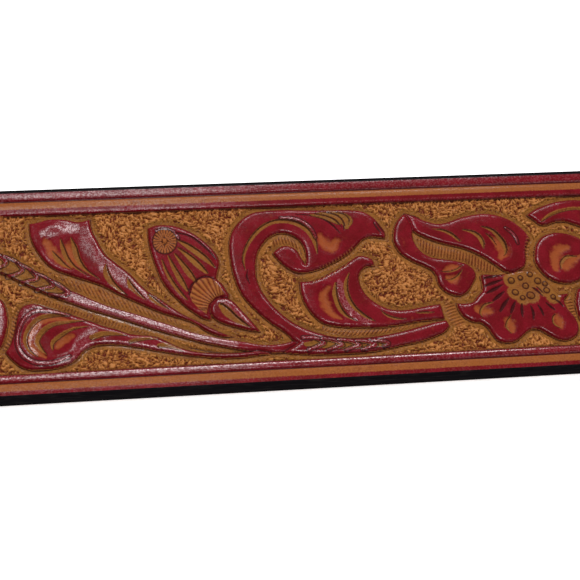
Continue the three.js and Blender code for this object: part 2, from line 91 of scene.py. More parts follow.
@dataclass(frozen=True)
class Form:
    """A raised form: a closed outline, sharp where a point is given twice, and how wide its rounded side is."""

    name: str
    outline: tuple[Point, ...]
    rise: float = 0.0
    shoulder: float = 0.42


@dataclass(frozen=True)
class Strokes:
    """A patch of fine parallel or fanned strokes, inside an outline.

    With a centre the strokes fan out from it and spacing is in degrees; without one they lean at `lean`
    degrees from the belt's length, and spacing is in millimetres.
    """

    outline: tuple[Point, ...]
    spacing: float
    lean: float = 90.0
    centre: Point | None = None
    strength: float = 1.0


FORMS = (
    Form("upper_leaf", (
        (-43.7, 12.4), (-43.7, 12.4), (-42.2, 12.6), (-40.6, 13.05), (-39, 13.1), (-37.2, 12.85), (-35.4, 12.4),
        (-33.4, 12.8), (-33.4, 12.8), (-33.2, 11.3), (-32.8, 9.9), (-32.1, 8.5), (-31.5, 7.1), (-30.7, 5.8),
        (-29.6, 4.7), (-28.4, 3.6), (-27.2, 2.5), (-26.2, 1.4), (-25.2, 0.1), (-24.3, -0.9), (-23.4, -1.7),
        (-22.4, -2.4), (-21.3, -3.3), (-20, -4.4), (-18.6, -5.5), (-17.2, -6.4), (-15.6, -7.3), (-14, -8.3),
        (-12, -9.4), (-10, -10.3), (-10, -10.3), (-12.4, -10), (-13.6, -9.5), (-14.8, -8.8), (-15.8, -7.9),
        (-16.9, -7.2), (-18.6, -6.5), (-20.5, -5.8), (-22.5, -4.9), (-25, -3.6), (-27, -2.5), (-29, -1.4),
        (-31, -0.1), (-33, 0.8), (-35, 1.6), (-36.8, 2.35), (-38.6, 3.15), (-40, 4.1), (-41.3, 5.6), (-42.3, 7.2),
        (-43.1, 8.9), (-43.5, 10.5))),
    Form("stem", (
        (-52, 8.6), (-52, 8.6), (-50, 7.8), (-48.2, 6.9), (-46, 5.65), (-44, 4.35), (-42, 3), (-40, 1.85),
        (-38.4, 0.75), (-36.9, -0.35), (-35, -1.3), (-33, -2.4), (-30.7, -3.55), (-28, -4.6), (-25, -5.7),
        (-22.5, -6.75), (-20, -7.75), (-17, -9.05), (-14, -9.95), (-11, -10.75), (-8, -11.35), (-6, -11.85),
        (-4, -12.05), (-2, -11.95), (-0.3, -11.55), (-0.3, -11.55), (1.6, -12.1), (1.8, -13.4), (1.8, -13.4),
        (-1, -13.5), (-4, -13.5), (-6, -13.35), (-8, -12.85), (-10, -12.4), (-12, -11.9), (-15, -11.1),
        (-18, -10.05), (-21, -9), (-24, -7.85), (-27, -6.65), (-30, -5.45), (-33, -4.35), (-36, -3.05), (-39, -1.75),
        (-42, -0.25), (-45, 1.45), (-48, 3.15), (-50, 3.9), (-52, 4.5), (-52, 4.5)), shoulder=0.24),
    Form("lower_leaf", (
        (-46.9, -11), (-46.9, -11), (-46.2, -9.8), (-45.8, -8.4), (-45.5, -7), (-45.3, -5.5), (-45, -4.1),
        (-44.4, -3.1), (-43.3, -2.65), (-42, -2.75), (-40.5, -3.35), (-39, -3.9), (-37, -4.7), (-35, -5.5),
        (-33, -6.4), (-31, -7.3), (-29, -7.95), (-27.2, -8.75), (-25.5, -9.1), (-23.8, -9.3), (-22.4, -9.7),
        (-20.8, -10.6), (-18.8, -11.75), (-16.8, -12.45), (-14, -12.9), (-10, -13.1), (-6, -13), (-6, -13),
        (-4, -13.55), (-6, -13.75), (-9, -14), (-13, -13.85), (-16, -13.4), (-19, -12.85), (-22, -12.2),
        (-25, -11.45), (-28, -10.8), (-31, -10.5), (-33, -10.75), (-34.4, -11.5), (-35.3, -12.6), (-36.4, -13.5),
        (-38.2, -14.05), (-40.5, -14.35), (-43, -14.2), (-44.6, -13.5), (-45.8, -12.4))),
    Form("bud", (
        (-23.6, 10.6), (-23.6, 10.6), (-22.4, 11.1), (-20.5, 11.15), (-18.8, 10.8), (-17, 10), (-15.4, 8.95),
        (-14, 7.6), (-12.8, 6.2), (-11.9, 4.7), (-11.6, 3.3), (-12, 1.6), (-12.2, 0.4), (-11.4, -0.5), (-10.8, -1.7),
        (-10.3, -2.9), (-10.6, -3.6), (-12.4, -4.4), (-13.4, -5.8), (-13.6, -7), (-14.6, -6.8), (-16, -5.85),
        (-17.6, -4.5), (-19, -3), (-20.3, -1.4), (-21.3, 0.2), (-22, 2), (-22.6, 3.9), (-23.1, 5.9), (-23.5, 8))),
    Form("bud_drop", (
        (-5.5, -9.6), (-5.5, -9.6), (-7.4, -9.25), (-9, -8.75), (-10.6, -8.2), (-12, -7.55), (-13.1, -6.7),
        (-13.65, -5.5), (-13.45, -4.3), (-12.6, -3.4), (-11.5, -3.15), (-10.4, -3.4), (-9.5, -4.1), (-8.7, -5.2),
        (-7.7, -6.5), (-6.8, -7.7)), rise=0.06),
    Form("scroll", (
        (-0.3, -11.3), (-0.3, -11.3), (-1.2, -10.2), (-2.6, -9), (-4, -7.85), (-5.4, -6.4), (-6.8, -4.8),
        (-7.9, -3.2), (-8.7, -1.5), (-9.2, 0.4), (-9.6, 2.5), (-9.8, 4.8), (-9.75, 7), (-9.3, 8.9), (-8.4, 10.5),
        (-7, 11.9), (-5.4, 12.85), (-3.2, 13.2), (0, 13.25), (4, 13), (8, 12.85), (12, 12.75), (14.2, 12.3),
        (15.8, 11.2), (17, 9.5), (17.7, 7.9), (17.6, 6.85), (17.6, 6.85), (16.4, 7.05), (15, 7.2), (13.8, 6.8),
        (12.6, 5.8), (11.3, 4.5), (9.7, 3.4), (7.6, 2.3), (5.4, 1.35), (3.2, 0.9), (1.4, 1), (0, 1.9), (-1.2, 3.1),
        (-2.4, 4.8), (-2.4, 4.8), (-1.5, 5.6), (-0.4, 6.15), (0.9, 5.95), (1.9, 5.1), (2.4, 3.9), (3.1, 2.4),
        (3.1, 2.4), (3.35, 3.8), (3.2, 5.4), (2.7, 6.8), (1.8, 7.8), (0.6, 8.45), (-0.8, 8.65), (-2.4, 8.1),
        (-3.8, 6.8), (-4.9, 5), (-5.4, 3), (-5.5, 0.8), (-5, -1.6), (-4, -3.6), (-2.6, -5.6), (-0.9, -7.4),
        (1.2, -9), (3.4, -10.1), (6, -11), (9, -11.5), (9, -11.5), (8, -12.6), (4, -12.6), (1, -12.3))),
    Form("lower_band", (
        (1.6, -11.3), (3.2, -10.3), (6, -11), (9, -11.5), (12, -11.6), (15, -11.35), (18, -10.85), (21, -10.2),
        (24, -9.5), (26.1, -9.15), (26.1, -9.15), (26.5, -10.3), (26, -11), (24, -12), (21, -12.85), (18, -13.35),
        (15, -13.9), (12, -14.25), (8, -14.3), (4, -14.2), (0, -13.85), (-2, -13.5), (-2, -13.5), (0, -12.4))),
    Form("curled_leaf", (
        (1.8, -0.85), (1.8, -0.85), (1.8, -2.4), (2.1, -4.2), (2.8, -5.9), (3.7, -7.3), (4.9, -8.5), (6.6, -9.2),
        (9, -9.6), (12, -9.75), (15, -9.85), (18, -9.65), (21, -9.25), (24, -9), (25.9, -8.85), (25.9, -8.85),
        (25.75, -7.5), (25.6, -6.15), (25.6, -6.15), (23, -6.45), (20.5, -6.85), (18.2, -6.95), (16.4, -6.55),
        (14.6, -5.5), (13.2, -4.1), (12.3, -2.4), (12.1, -0.7), (12.5, 0.6), (13.6, 1.45), (15.1, 1.6), (15.1, 1.6),
        (14.9, 2.6), (13.8, 3.45), (12.4, 3.6), (11, 2.8), (9.4, 1.75), (7.4, 0.7), (5.2, -0.35), (3.4, -0.8))),
    Form("back_lobe", (
        (21.7, 11.7), (21.7, 11.7), (20.5, 10.6), (19.6, 9.2), (19.1, 7.6), (19, 6), (19.5, 4.5), (20.5, 3.2),
        (22, 2.05), (23.8, 1.05), (25, 0.25), (25.6, -0.9), (25.8, -2.4), (26.5, -3.6), (27.8, -4.5), (29.4, -4.8),
        (30.8, -4), (31.8, -2.7), (32.6, -1.2), (32.4, 0), (31.4, 1.1), (29.6, 1.8), (27.4, 2.3), (25.2, 2.8),
        (23.8, 3.8), (22.9, 5.2), (22.5, 6.8), (22.8, 8.1), (23.6, 8.6), (24.4, 10.4))),
    Form("broad_leaf", (
        (21.6, 11.7), (21.6, 11.7), (22.4, 9.6), (22.9, 7.95), (24.6, 6.75), (26.6, 5.75), (28.8, 5), (31, 4.3),
        (33, 3.35), (34.8, 2.1), (36.3, 0.8), (37.8, -0.6), (37.8, -0.6), (39.2, -0.85), (40.6, -0.4), (41.6, 0.3),
        (42.1, 1.6), (42.3, 3), (42.8, 4.4), (43.6, 5.6), (43.6, 5.6), (42.8, 7.2), (41.6, 8.6), (40.1, 9.75),
        (38.2, 10.55), (36, 10.95), (33.6, 10.75), (31.2, 10.2), (29, 9.5), (27.2, 9.3), (25.4, 9.9),
        (23.5, 10.85))),
    Form("flower", (
        (28.3, -6.15), (28.3, -6.15), (28.6, -7.6), (29.4, -8.9), (30.6, -9.7), (32, -10), (33, -10.9),
        (33.7, -12.3), (34.4, -13.35), (36, -13.85), (37.7, -13.55), (39.1, -12.6), (40.4, -11.75), (41.8, -11.75),
        (43.2, -12.7), (45, -13.8), (46.9, -13.9), (48.2, -13.2), (48.9, -11.6), (48.6, -9.8), (47.6, -8),
        (47.4, -6.6), (48.4, -5.4), (46.6, -5.4), (45.6, -3.6), (44.4, -2), (43, -0.7), (40.6, -0.6), (38.4, -1),
        (36, -1.15), (33.4, -1.2), (33.4, -2.6), (33.1, -4.2), (32.2, -5.1), (31.2, -6.1), (29.8, -6.3))),
    Form("round_petal", (
        (43.6, 1), (43.8, 2.6), (44.4, 4.3), (45.6, 5.7), (47.2, 6.4), (49, 6.55), (50.8, 6.15), (52.4, 5.4),
        (53.6, 4), (54, 2), (53.6, 0), (52.4, -1.8), (50.6, -3), (48.6, -3.4), (46.6, -3), (45, -1.8), (44, -0.3))),
    Form("upper_scroll", (
        (43.8, 10.3), (43.8, 10.3), (45.4, 11.35), (47.4, 12.15), (49.6, 12.75), (52, 13.05), (54.6, 12.9),
        (57, 12.1), (59.6, 10.6), (62, 8.9), (63.8, 7.6), (63.8, 7.6), (63.8, 3.3), (63.8, 3.3), (61.6, 4.3),
        (59, 5.2), (56.4, 6.2), (54.2, 7.2), (52.2, 8.1), (50.4, 8.75), (48.6, 8.65), (47, 8.15), (45.9, 8.3),
        (44.9, 9.35))),
    Form("right_leaf", (
        (50.2, -4.6), (50.2, -4.6), (49.5, -6.2), (49.2, -8.2), (49.4, -10.2), (50.4, -12), (52.2, -13.1),
        (54.6, -13.5), (57.4, -13.2), (60, -12.2), (62.4, -11.2), (64.4, -10.1), (65.1, -8), (65.35, -5.8),
        (65.1, -3.7), (64.5, -2.1), (63, -0.7), (60.8, 0.5), (58.6, 1.1), (56.6, 0.7), (55.6, -0.8), (54.4, -2.4),
        (52.4, -3.6))),
)

# What is worked into the forms, in order: a tool, and the marks that it makes.
TOOLWORK: tuple[tuple[Stroke, tuple[Mark, ...]], ...] = (
    (Stroke.HOLLOW, (
        # Broad hollows that keep the stain.
        (0.22, (-39.2, 9.3, 2.6), (-38.2, 7.6, 3.2), (-36.8, 5.6, 2.4)),
        (0.34, (-41, -8.4, 2.2), (-39.6, -9.6, 2.8), (-38, -9.8, 2.4)),
        (0.26, (5.6, -2.6, 1.4), (6.2, -5, 2), (8.6, -7.6, 1.4)),
        (0.26, (35.8, 6.4, 1.4), (37.4, 4.8, 2.4), (38, 3.2, 2)),
    )),
    (Stroke.BOWL, (
        # Soft hollows where the stain is rubbed to orange.
        (0.22, (-40.6, 8.6, 0.9), (-39.8, 7, 1.3), (-38.2, 5, 1.3), (-36.6, 3.8, 0.7)),
        (0.16, (-37, 7.6, 1), (-36, 5.2, 1.2), (-34.4, 3.4, 0.7)),
        (0.26, (-36.8, -5.9, 0.3), (-40, -5.6, 0.9), (-42.5, -7, 1.2), (-43.2, -9.2, 1.1), (-42, -11.2, 0.9),
            (-40.4, -12.3, 0.3)),
        (0.2, (-38.6, -10.4, 0.8), (-37.3, -9.3, 1), (-36.2, -8.9, 0.6)),
        (0.34, (6.2, 7.8, 0.7), (6.8, 6.2, 1.5), (7.8, 5.6, 1.6), (9, 6.6, 0.8)),
        (0.3, (6.6, -2.2, 0.6), (5.6, -3.8, 1.1), (5.9, -5.6, 1.2), (7, -7.3, 0.9), (8.2, -8, 0.4)),
        (0.24, (27, -0.1, 0.4), (28.2, 0.4, 0.9), (29.4, 0.6, 0.6)),
        (0.24, (27.4, -1.3, 0.5), (28.4, -1.8, 1.1), (29.2, -1.4, 0.7)),
        (0.24, (36.4, 6.2, 0.4), (37.6, 4.8, 1.2), (38.2, 3, 1.5), (37.4, 2, 0.7)),
        (0.28, (31.7, -7.6, 0.9), (33, -7.9, 1.3), (33.6, -8, 1)),
        (0.28, (36.6, -9.9, 0.9), (37, -11, 1.3), (37.1, -11.8, 0.7)),
        (0.26, (45.3, -9.8, 0.9), (45.6, -10.8, 1.2), (45.7, -11.4, 0.7)),
        (0.16, (47, -0.8, 0.8), (47, 1, 1.2), (48, 2.8, 1.4), (49.8, 3.4, 0.8)),
        (0.12, (48.6, -0.4, 1.2), (50.2, 0.8, 1.2), (51.6, 1.4, 0.6)),
        (0.3, (53.4, -9.6, 1), (56.4, -6.6, 2.2), (59.6, -5, 2), (61.2, -4.2, 0.8)),
        (0.2, (-13.4, -1.2, 1.1), (-14.4, -2.4, 1.9), (-15, -4.4, 1.2)),
    )),
    (Stroke.HOLLOW, (
        (0.2, (38.4, -3.2, 1.2), (41, -3.8, 2.6), (43.6, -3.6, 1.8)),
    )),
    (Stroke.SLIT, (
        # The upper leaf's lobes, and the lines that run down into its stem.
        (0.3, (-30.7, 3.8, 0.15), (-30.6, 2.2, 0.55), (-29.7, 0.4, 0.5), (-28.4, -1, 0.3), (-27.2, -2, 0.05)),
        (0.3, (-27.1, 1.1, 0.1), (-26.7, -0.2, 0.5), (-25.6, -1.6, 0.4), (-24.2, -3, 0.05)),
        (0.3, (-23.9, -1.9, 0.1), (-23.3, -2.6, 0.4), (-22.2, -3.7, 0.4), (-20.4, -4.9, 0.05)),
        (0.32, (-38.3, 9.2, 0.1), (-37.9, 7.4, 0.4), (-37.2, 5.5, 0.45), (-35.8, 3.6, 0.25), (-33.6, 1.9, 0.05)),
        (0.3, (-36.5, 9.2, 0.1), (-35.9, 7.2, 0.5), (-35.4, 5.2, 0.5), (-34.2, 3.2, 0.3), (-31.8, 1.2, 0.05)),
        (0.2, (-39.6, 6.8, 0.15), (-38.9, 5.6, 0.5), (-37.6, 4.2, 0.35), (-36.2, 3.2, 0.05)),
        # The lower leaf's nested crescents and the notches of its tail.
        (0.25, (-36.6, -5.3, 0.1), (-39.4, -5, 0.35), (-41.8, -5.6, 0.4), (-43.2, -7.2, 0.4), (-43.7, -9.2, 0.35),
            (-43, -11, 0.25), (-41.6, -12.2, 0.05)),
        (0.32, (-33.6, -6.2, 0.05), (-36.6, -6.3, 0.3), (-39.4, -6.7, 0.45), (-41.2, -7.9, 0.5), (-41.8, -9.4, 0.45),
            (-41.2, -10.8, 0.35), (-40.2, -11.9, 0.05)),
        (0.3, (-33.6, -7.3, 0.05), (-36, -7.6, 0.25), (-38.2, -8.7, 0.35), (-39.4, -9.8, 0.35),
            (-39.3, -11.2, 0.05)),
        (0.34, (-27.4, -9.2, 0.05), (-29.6, -8.8, 0.35), (-31.6, -8.8, 0.5), (-33, -9.3, 0.5)),
        (0.32, (-22.3, -10.1, 0.05), (-24.2, -9.95, 0.28), (-25.8, -10.1, 0.38), (-26.9, -10.35, 0.3)),
        (0.3, (-18.4, -12.5, 0.05), (-20, -11.7, 0.3), (-21.4, -11.3, 0.45), (-22.2, -11.3, 0.4)),
        (0.2, (-7, -13.1, 0.05), (-10, -12.85, 0.2), (-14, -12.4, 0.25), (-17.4, -11.7, 0.05)),
        # The bud's stripes.
        (0.3, (-18.7, 8, 0.15), (-17.2, 7, 0.45), (-15.4, 5.5, 0.6), (-13.8, 4, 0.5), (-12.4, 2.4, 0.1)),
        (0.3, (-18.5, 6.4, 0.15), (-17, 5, 0.45), (-15.3, 3.1, 0.6), (-13.9, 1.5, 0.3)),
        (0.3, (-19.1, 5.3, 0.15), (-17.9, 3.4, 0.42), (-16.6, 1.2, 0.55), (-15.8, 0, 0.3)),
        (0.3, (-20.2, 4.9, 0.15), (-19.3, 2.6, 0.42), (-18.1, 0, 0.5), (-17.3, -1.6, 0.25)),
        (0.3, (-21.3, 4.4, 0.1), (-20.7, 2.2, 0.3), (-19.7, 0, 0.35), (-18.3, -2.2, 0.3), (-17.3, -3.4, 0.1)),
        # The drop beside the bud, and the scroll's inner lines.
        (0.42, (-11.7, -4.7, 0.5), (-11, -5.6, 0.8), (-9.8, -6.9, 0.7), (-8.3, -8.1, 0.4), (-7, -8.95, 0.05)),
        (0.36, (-7.3, 1.6, 0.05), (-7.5, 3.6, 0.22), (-7, 5.6, 0.3), (-5.8, 7.7, 0.35), (-4, 9.6, 0.4),
            (-1.8, 10.7, 0.42), (0.6, 10.75, 0.45), (2.8, 9.9, 0.5), (4.3, 8.4, 0.5), (5.1, 6.6, 0.45),
            (5.3, 4.3, 0.1)),
    )),
    (Stroke.BARE, (
        (0.16, (4.9, 11.8, 0.2), (7.2, 11.6, 0.8), (9.6, 11, 1.3), (11, 10.2, 1.2), (10.9, 9.2, 0.5)),
    )),
    (Stroke.SLIT, (
        # The curled leaf's ribs.
        (0.3, (7.9, -1.6, 0.2), (7.6, -3.2, 0.42), (7.8, -5, 0.45), (8.4, -6.6, 0.4), (9.6, -8, 0.2),
            (10.9, -8.7, 0.05)),
        (0.36, (10.4, 0.2, 0.1), (9.7, -1.6, 0.35), (9.6, -3.4, 0.42), (10.1, -5.2, 0.42), (11.1, -6.8, 0.36),
            (12.4, -8, 0.28), (13.9, -8.9, 0.05)),
        (0.28, (15, -6.9, 0.05), (15.8, -7.8, 0.2), (17.2, -8.5, 0.25), (19.2, -8.75, 0.05)),
        (0.26, (21, -7.7, 0.05), (22.2, -7.75, 0.2), (24.2, -7.8, 0.05)),
        # The broad leaf's veins.
        (0.32, (26.1, 8.1, 0.05), (28, 7.7, 0.3), (29.5, 6.8, 0.35), (30.6, 5.6, 0.25)),
        (0.28, (31.5, 7.7, 0.1), (33.1, 7.2, 0.35), (34.3, 6.2, 0.45), (34.7, 4.9, 0.4), (34.7, 3.8, 0.05)),
        (0.32, (35, 8.2, 0.1), (36.6, 7.5, 0.35), (37.8, 6.2, 0.42), (38.6, 4.6, 0.45), (38.6, 3, 0.25),
            (38.2, 2.4, 0.05)),
        (0.24, (35.6, 6.9, 0.05), (36.7, 5.8, 0.2), (37.3, 4.6, 0.05)),
        # The back lobe's two scallops, the petals' ovals and the round petal's curl.
        (0.25, (26.4, -0.2, 0.05), (28, -0.3, 0.2), (29.4, 0.1, 0.2), (30.5, 0.9, 0.05)),
        (0.25, (26.8, -1.7, 0.05), (28.2, -1.8, 0.2), (29.4, -1.1, 0.2), (30.3, 0, 0.05)),
        (0.3, (32.3, -9.2, 0.05), (32.2, -8.2, 0.2), (33, -7, 0.25), (34.6, -6.5, 0.1)),
        (0.3, (36.9, -12.4, 0.05), (36.3, -11.2, 0.25), (36.7, -9.9, 0.2), (37.4, -9, 0.05)),
        (0.25, (45.6, -11.8, 0.1), (44.6, -11, 0.22), (44.6, -9.9, 0.2), (45.2, -9.1, 0.05)),
        (0.22, (47.9, -0.8, 0.1), (48.2, 0.4, 0.35), (49.2, 1.4, 0.35), (51.2, 1.5, 0.1)),
        (0.32, (60.5, 8.2, 0.05), (57, 10, 0.3), (53.5, 11.05, 0.32), (50.2, 10.75, 0.35), (47.8, 9.9, 0.3),
            (46.3, 8.9, 0.2)),
        (0.3, (57.8, -0.8, 0.1), (60.2, -1.6, 0.4), (62, -3.4, 0.5), (62.4, -5.6, 0.4), (61.4, -7.4, 0.1)),
    )),
    (Stroke.CUT, (
        # The bud's stripes.
        (0.3, (-22, 9.9, 0.12), (-20.6, 10.15, 0.14), (-19.2, 9.3, 0.14), (-17.8, 9.15, 0.16), (-16.4, 8.6, 0.18),
            (-15, 7.5, 0.2), (-13.6, 6, 0.18), (-12.1, 4, 0.1)),
        (0.25, (-17, -2.4, 0.15), (-16.6, -0.9, 0.18), (-15.6, 0.2, 0.18), (-14.2, 0.8, 0.14), (-12.6, 0.3, 0.1)),
        # Ribs in the hollow near the scroll's end, and fine lines on the scroll and the leaves.
        (0.26, (6.3, 12.5, 0.06), (8.5, 12.1, 0.13), (10, 11.2, 0.16), (10.6, 9.9, 0.14), (10.4, 8.6, 0.06)),
        (0.26, (5.6, 12.1, 0.06), (7.6, 11.6, 0.13), (9.2, 10.6, 0.17), (10.1, 9.1, 0.06)),
        (0.28, (5.1, 11.7, 0.06), (7, 10.9, 0.15), (8.6, 9.5, 0.17), (9.6, 8.1, 0.06)),
        (0.16, (9.4, 12.2, 0.05), (11, 11.6, 0.1), (11.6, 10.6, 0.1), (11.3, 9.6, 0.05)),
        (0.2, (-6.9, 1.8, 0.05), (-7.1, 0.3, 0.14), (-6.7, -1, 0.05)),
        (0.15, (2.2, 12.05, 0.05), (3.6, 11.95, 0.12), (5.2, 11.65, 0.05)),
        (0.22, (15.8, 9.9, 0.08), (16.2, 8.9, 0.16), (16.9, 7.7, 0.08)),
        (0.22, (16.4, 9.9, 0.08), (16.9, 8.9, 0.16), (17.4, 7.9, 0.08)),
        (0.3, (42.2, -4, 0.15), (42.9, -4.8, 0.2), (43.5, -5.7, 0.1)),
        (0.25, (42.9, -3.8, 0.1), (43.4, -4.5, 0.16), (43.8, -5.2, 0.08)),
        # Strokes that fan out of the flower's heart.
        (0.3, (37.1, -1.4, 0.1), (35.4, -1.6, 0.28), (33.8, -1.9, 0.15)),
        (0.32, (37, -2.3, 0.1), (35.2, -2.9, 0.3), (33.7, -3.4, 0.15)),
        (0.32, (36.8, -3.3, 0.1), (35.2, -4.1, 0.32), (33.8, -4.7, 0.15)),
        (0.32, (36.9, -4.6, 0.1), (35.8, -5.4, 0.3), (34.7, -6.2, 0.15)),
        (0.3, (37.5, -5.9, 0.1), (36.4, -7.1, 0.34), (35.6, -8.2, 0.2)),
        (0.3, (38.5, -6.6, 0.1), (37.8, -7.8, 0.3), (37.4, -8.6, 0.15)),
        (0.3, (39.6, -7, 0.1), (39.4, -8.2, 0.26), (39.3, -9.4, 0.1)),
        (0.3, (41.1, -7.5, 0.1), (41.3, -8.8, 0.24), (41.1, -10, 0.1)),
        (0.28, (42.4, -7.4, 0.1), (42.8, -8.4, 0.22), (43, -9.4, 0.1)),
        (0.28, (43.9, -7.1, 0.1), (44.6, -7.9, 0.22), (45.2, -8.5, 0.1)),
        (0.28, (45.6, -6.4, 0.1), (46.3, -7.1, 0.2), (46.8, -7.9, 0.1)),
    )),
    (Stroke.BARE, (
        # The stem's, on a bare strip, and then the lower band's.
        (0.2, (-53, 7.4, 1.2), (-50, 5.9, 1.25), (-46.5, 3.9, 1.15), (-43, 1.8, 1.05), (-40, 0, 0.85),
            (-37.4, -1.5, 0.35)),
    )),
    (Stroke.RIDGE, (
        (0.16, (-52.4, 8.2, 0.16), (-50, 6.6, 0.2), (-49.2, 5.3, 0.2), (-50.2, 4.9, 0.16), (-52, 4.9, 0.12)),
        (0.18, (-50.2, 7.6, 0.14), (-48.1, 6.2, 0.2), (-47.2, 4.9, 0.2), (-48, 4.4, 0.18), (-50, 4.1, 0.14)),
        (0.18, (-47.6, 6.4, 0.14), (-45.5, 5.2, 0.2), (-44.6, 3.3, 0.2), (-45.6, 2.8, 0.18), (-47, 2.5, 0.14)),
        (0.18, (-45.2, 5, 0.12), (-43.2, 3.6, 0.2), (-42.1, 1.8, 0.2), (-43.4, 1.5, 0.18), (-44.8, 1.2, 0.14)),
        (0.18, (-42.6, 3.2, 0.12), (-40.6, 2, 0.18), (-39.4, 0.4, 0.2), (-40.6, 0.1, 0.18), (-42.2, -0.2, 0.14)),
        (0.18, (-40, 1.6, 0.12), (-38.2, 0.5, 0.18), (-36.9, -1.2, 0.2), (-38.2, -1.4, 0.18), (-40, -1.1, 0.12)),
    )),
    (Stroke.BARE, (
        (0.18, (1.8, -12.4, 0.35), (4.4, -12.4, 0.8), (8, -12.8, 0.75), (12, -13.05, 0.6), (15.6, -13.1, 0.25)),
    )),
    (Stroke.RIDGE, (
        (0.16, (1.4, -11.2, 0.16), (3.6, -11.4, 0.2), (4.9, -12.3, 0.22), (3.8, -12.8, 0.2), (2.2, -13.4, 0.16)),
        (0.16, (4.6, -11.5, 0.16), (6.8, -12, 0.2), (7.9, -12.8, 0.22), (6.8, -13.1, 0.2), (5.4, -13.6, 0.14)),
        (0.16, (7.4, -11.8, 0.16), (9.7, -12.3, 0.2), (10.8, -13, 0.2), (9.7, -13.3, 0.18), (8.4, -13.7, 0.14)),
        (0.16, (10.4, -12.1, 0.16), (12.5, -12.6, 0.2), (13.5, -13.1, 0.2), (12.4, -13.4, 0.16),
            (11.2, -13.8, 0.12)),
        (0.14, (13, -12.2, 0.14), (14.8, -12.6, 0.18), (15.6, -13, 0.18), (14.8, -13.4, 0.12)),
        # Thin ridges: round the lower leaf's hollow, beside the scroll's slit and along its inner rim.
        (0.12, (-36.8, -4.95, 0.1), (-38.5, -4.5, 0.14), (-40.6, -4.05, 0.16), (-42.6, -4.2, 0.18),
            (-44, -5.5, 0.18), (-44.8, -7.6, 0.18), (-44.85, -10.2, 0.18), (-44, -11.8, 0.2), (-42.4, -13, 0.2),
            (-40.2, -13.4, 0.2), (-38.2, -13, 0.16), (-36.6, -12.4, 0.1)),
        (0.1, (-0.5, 11.5, 0.08), (2, 11.2, 0.13), (3.6, 10.3, 0.15), (4.7, 9, 0.15), (5.3, 7.4, 0.1)),
        (0.1, (-22, 9.9, 0.1), (-20.6, 10.15, 0.13), (-19.2, 9.6, 0.13), (-18.4, 8.3, 0.1)),
        (0.08, (39.3, 7.7, 0.08), (40.2, 6.8, 0.13), (40.8, 5.7, 0.13), (41, 4.5, 0.08)),
    )),
    # Patches of gloss, which also paint a pink sheen into the stained colour.
    (Stroke.POLISH, (
        (0.6, (-40.8, 10.2, 1.1), (-38.5, 11.1, 1.3), (-36, 10.9, 1.1)),
        (0.2, (-34.2, 10.4, 1.2), (-33.6, 7.4, 1.5), (-32, 5, 1.2)),
        (0.4, (-31, 3.4, 1.2), (-28.5, 1.5, 1.2), (-26, -0.5, 1), (-22.6, -3.4, 0.7)),
        (0.75, (-37, -1.9, 1), (-30, -4.9, 1.2), (-24, -7.2, 1.1), (-18, -9.4, 1), (-10, -11.6, 0.8)),
        (0.4, (-44, -4.4, 1.2), (-42, -3.5, 1.1), (-39, -4.5, 0.8)),
        (0.5, (-42.4, -6.4, 1.4), (-43.2, -9, 1.4), (-42.4, -11.2, 1)),
        (0.5, (-38, -12.9, 1), (-36, -12.3, 1.3), (-34.6, -10.4, 1.5), (-33, -8.3, 1)),
        (0.6, (-31, -9.9, 0.8), (-27.5, -10.6, 0.7), (-24, -11.3, 0.7), (-18.4, -12.6, 0.6)),
        (0.5, (-48.6, -2.6, 1.2), (-48.2, -5, 1.5), (-48.6, -8, 1.3)),
        (0.9, (8.7, -1.4, 0.8), (9.2, -5, 1), (10.6, -7.6, 1), (12.8, -9, 0.7)),
        (0.4, (-11.8, -4, 0.8), (-9.6, -5.6, 1), (-7.6, -7.8, 0.8)),
    )),
)

# The flower's seeds: where each one's middle is, and its radius.
SEEDS = (
    (38.6, -2.5, 0.42), (38.9, -4.8, 0.42), (41, -3.6, 0.4), (41.5, -5.5, 0.55), (43.3, -2.8, 0.42),
    (42.1, -1.5, 0.34), (44.5, -4.7, 0.4), (44.5, -3.4, 0.3), (40.3, -2.1, 0.3), (40, -5.9, 0.3), (45.4, -6, 0.3))

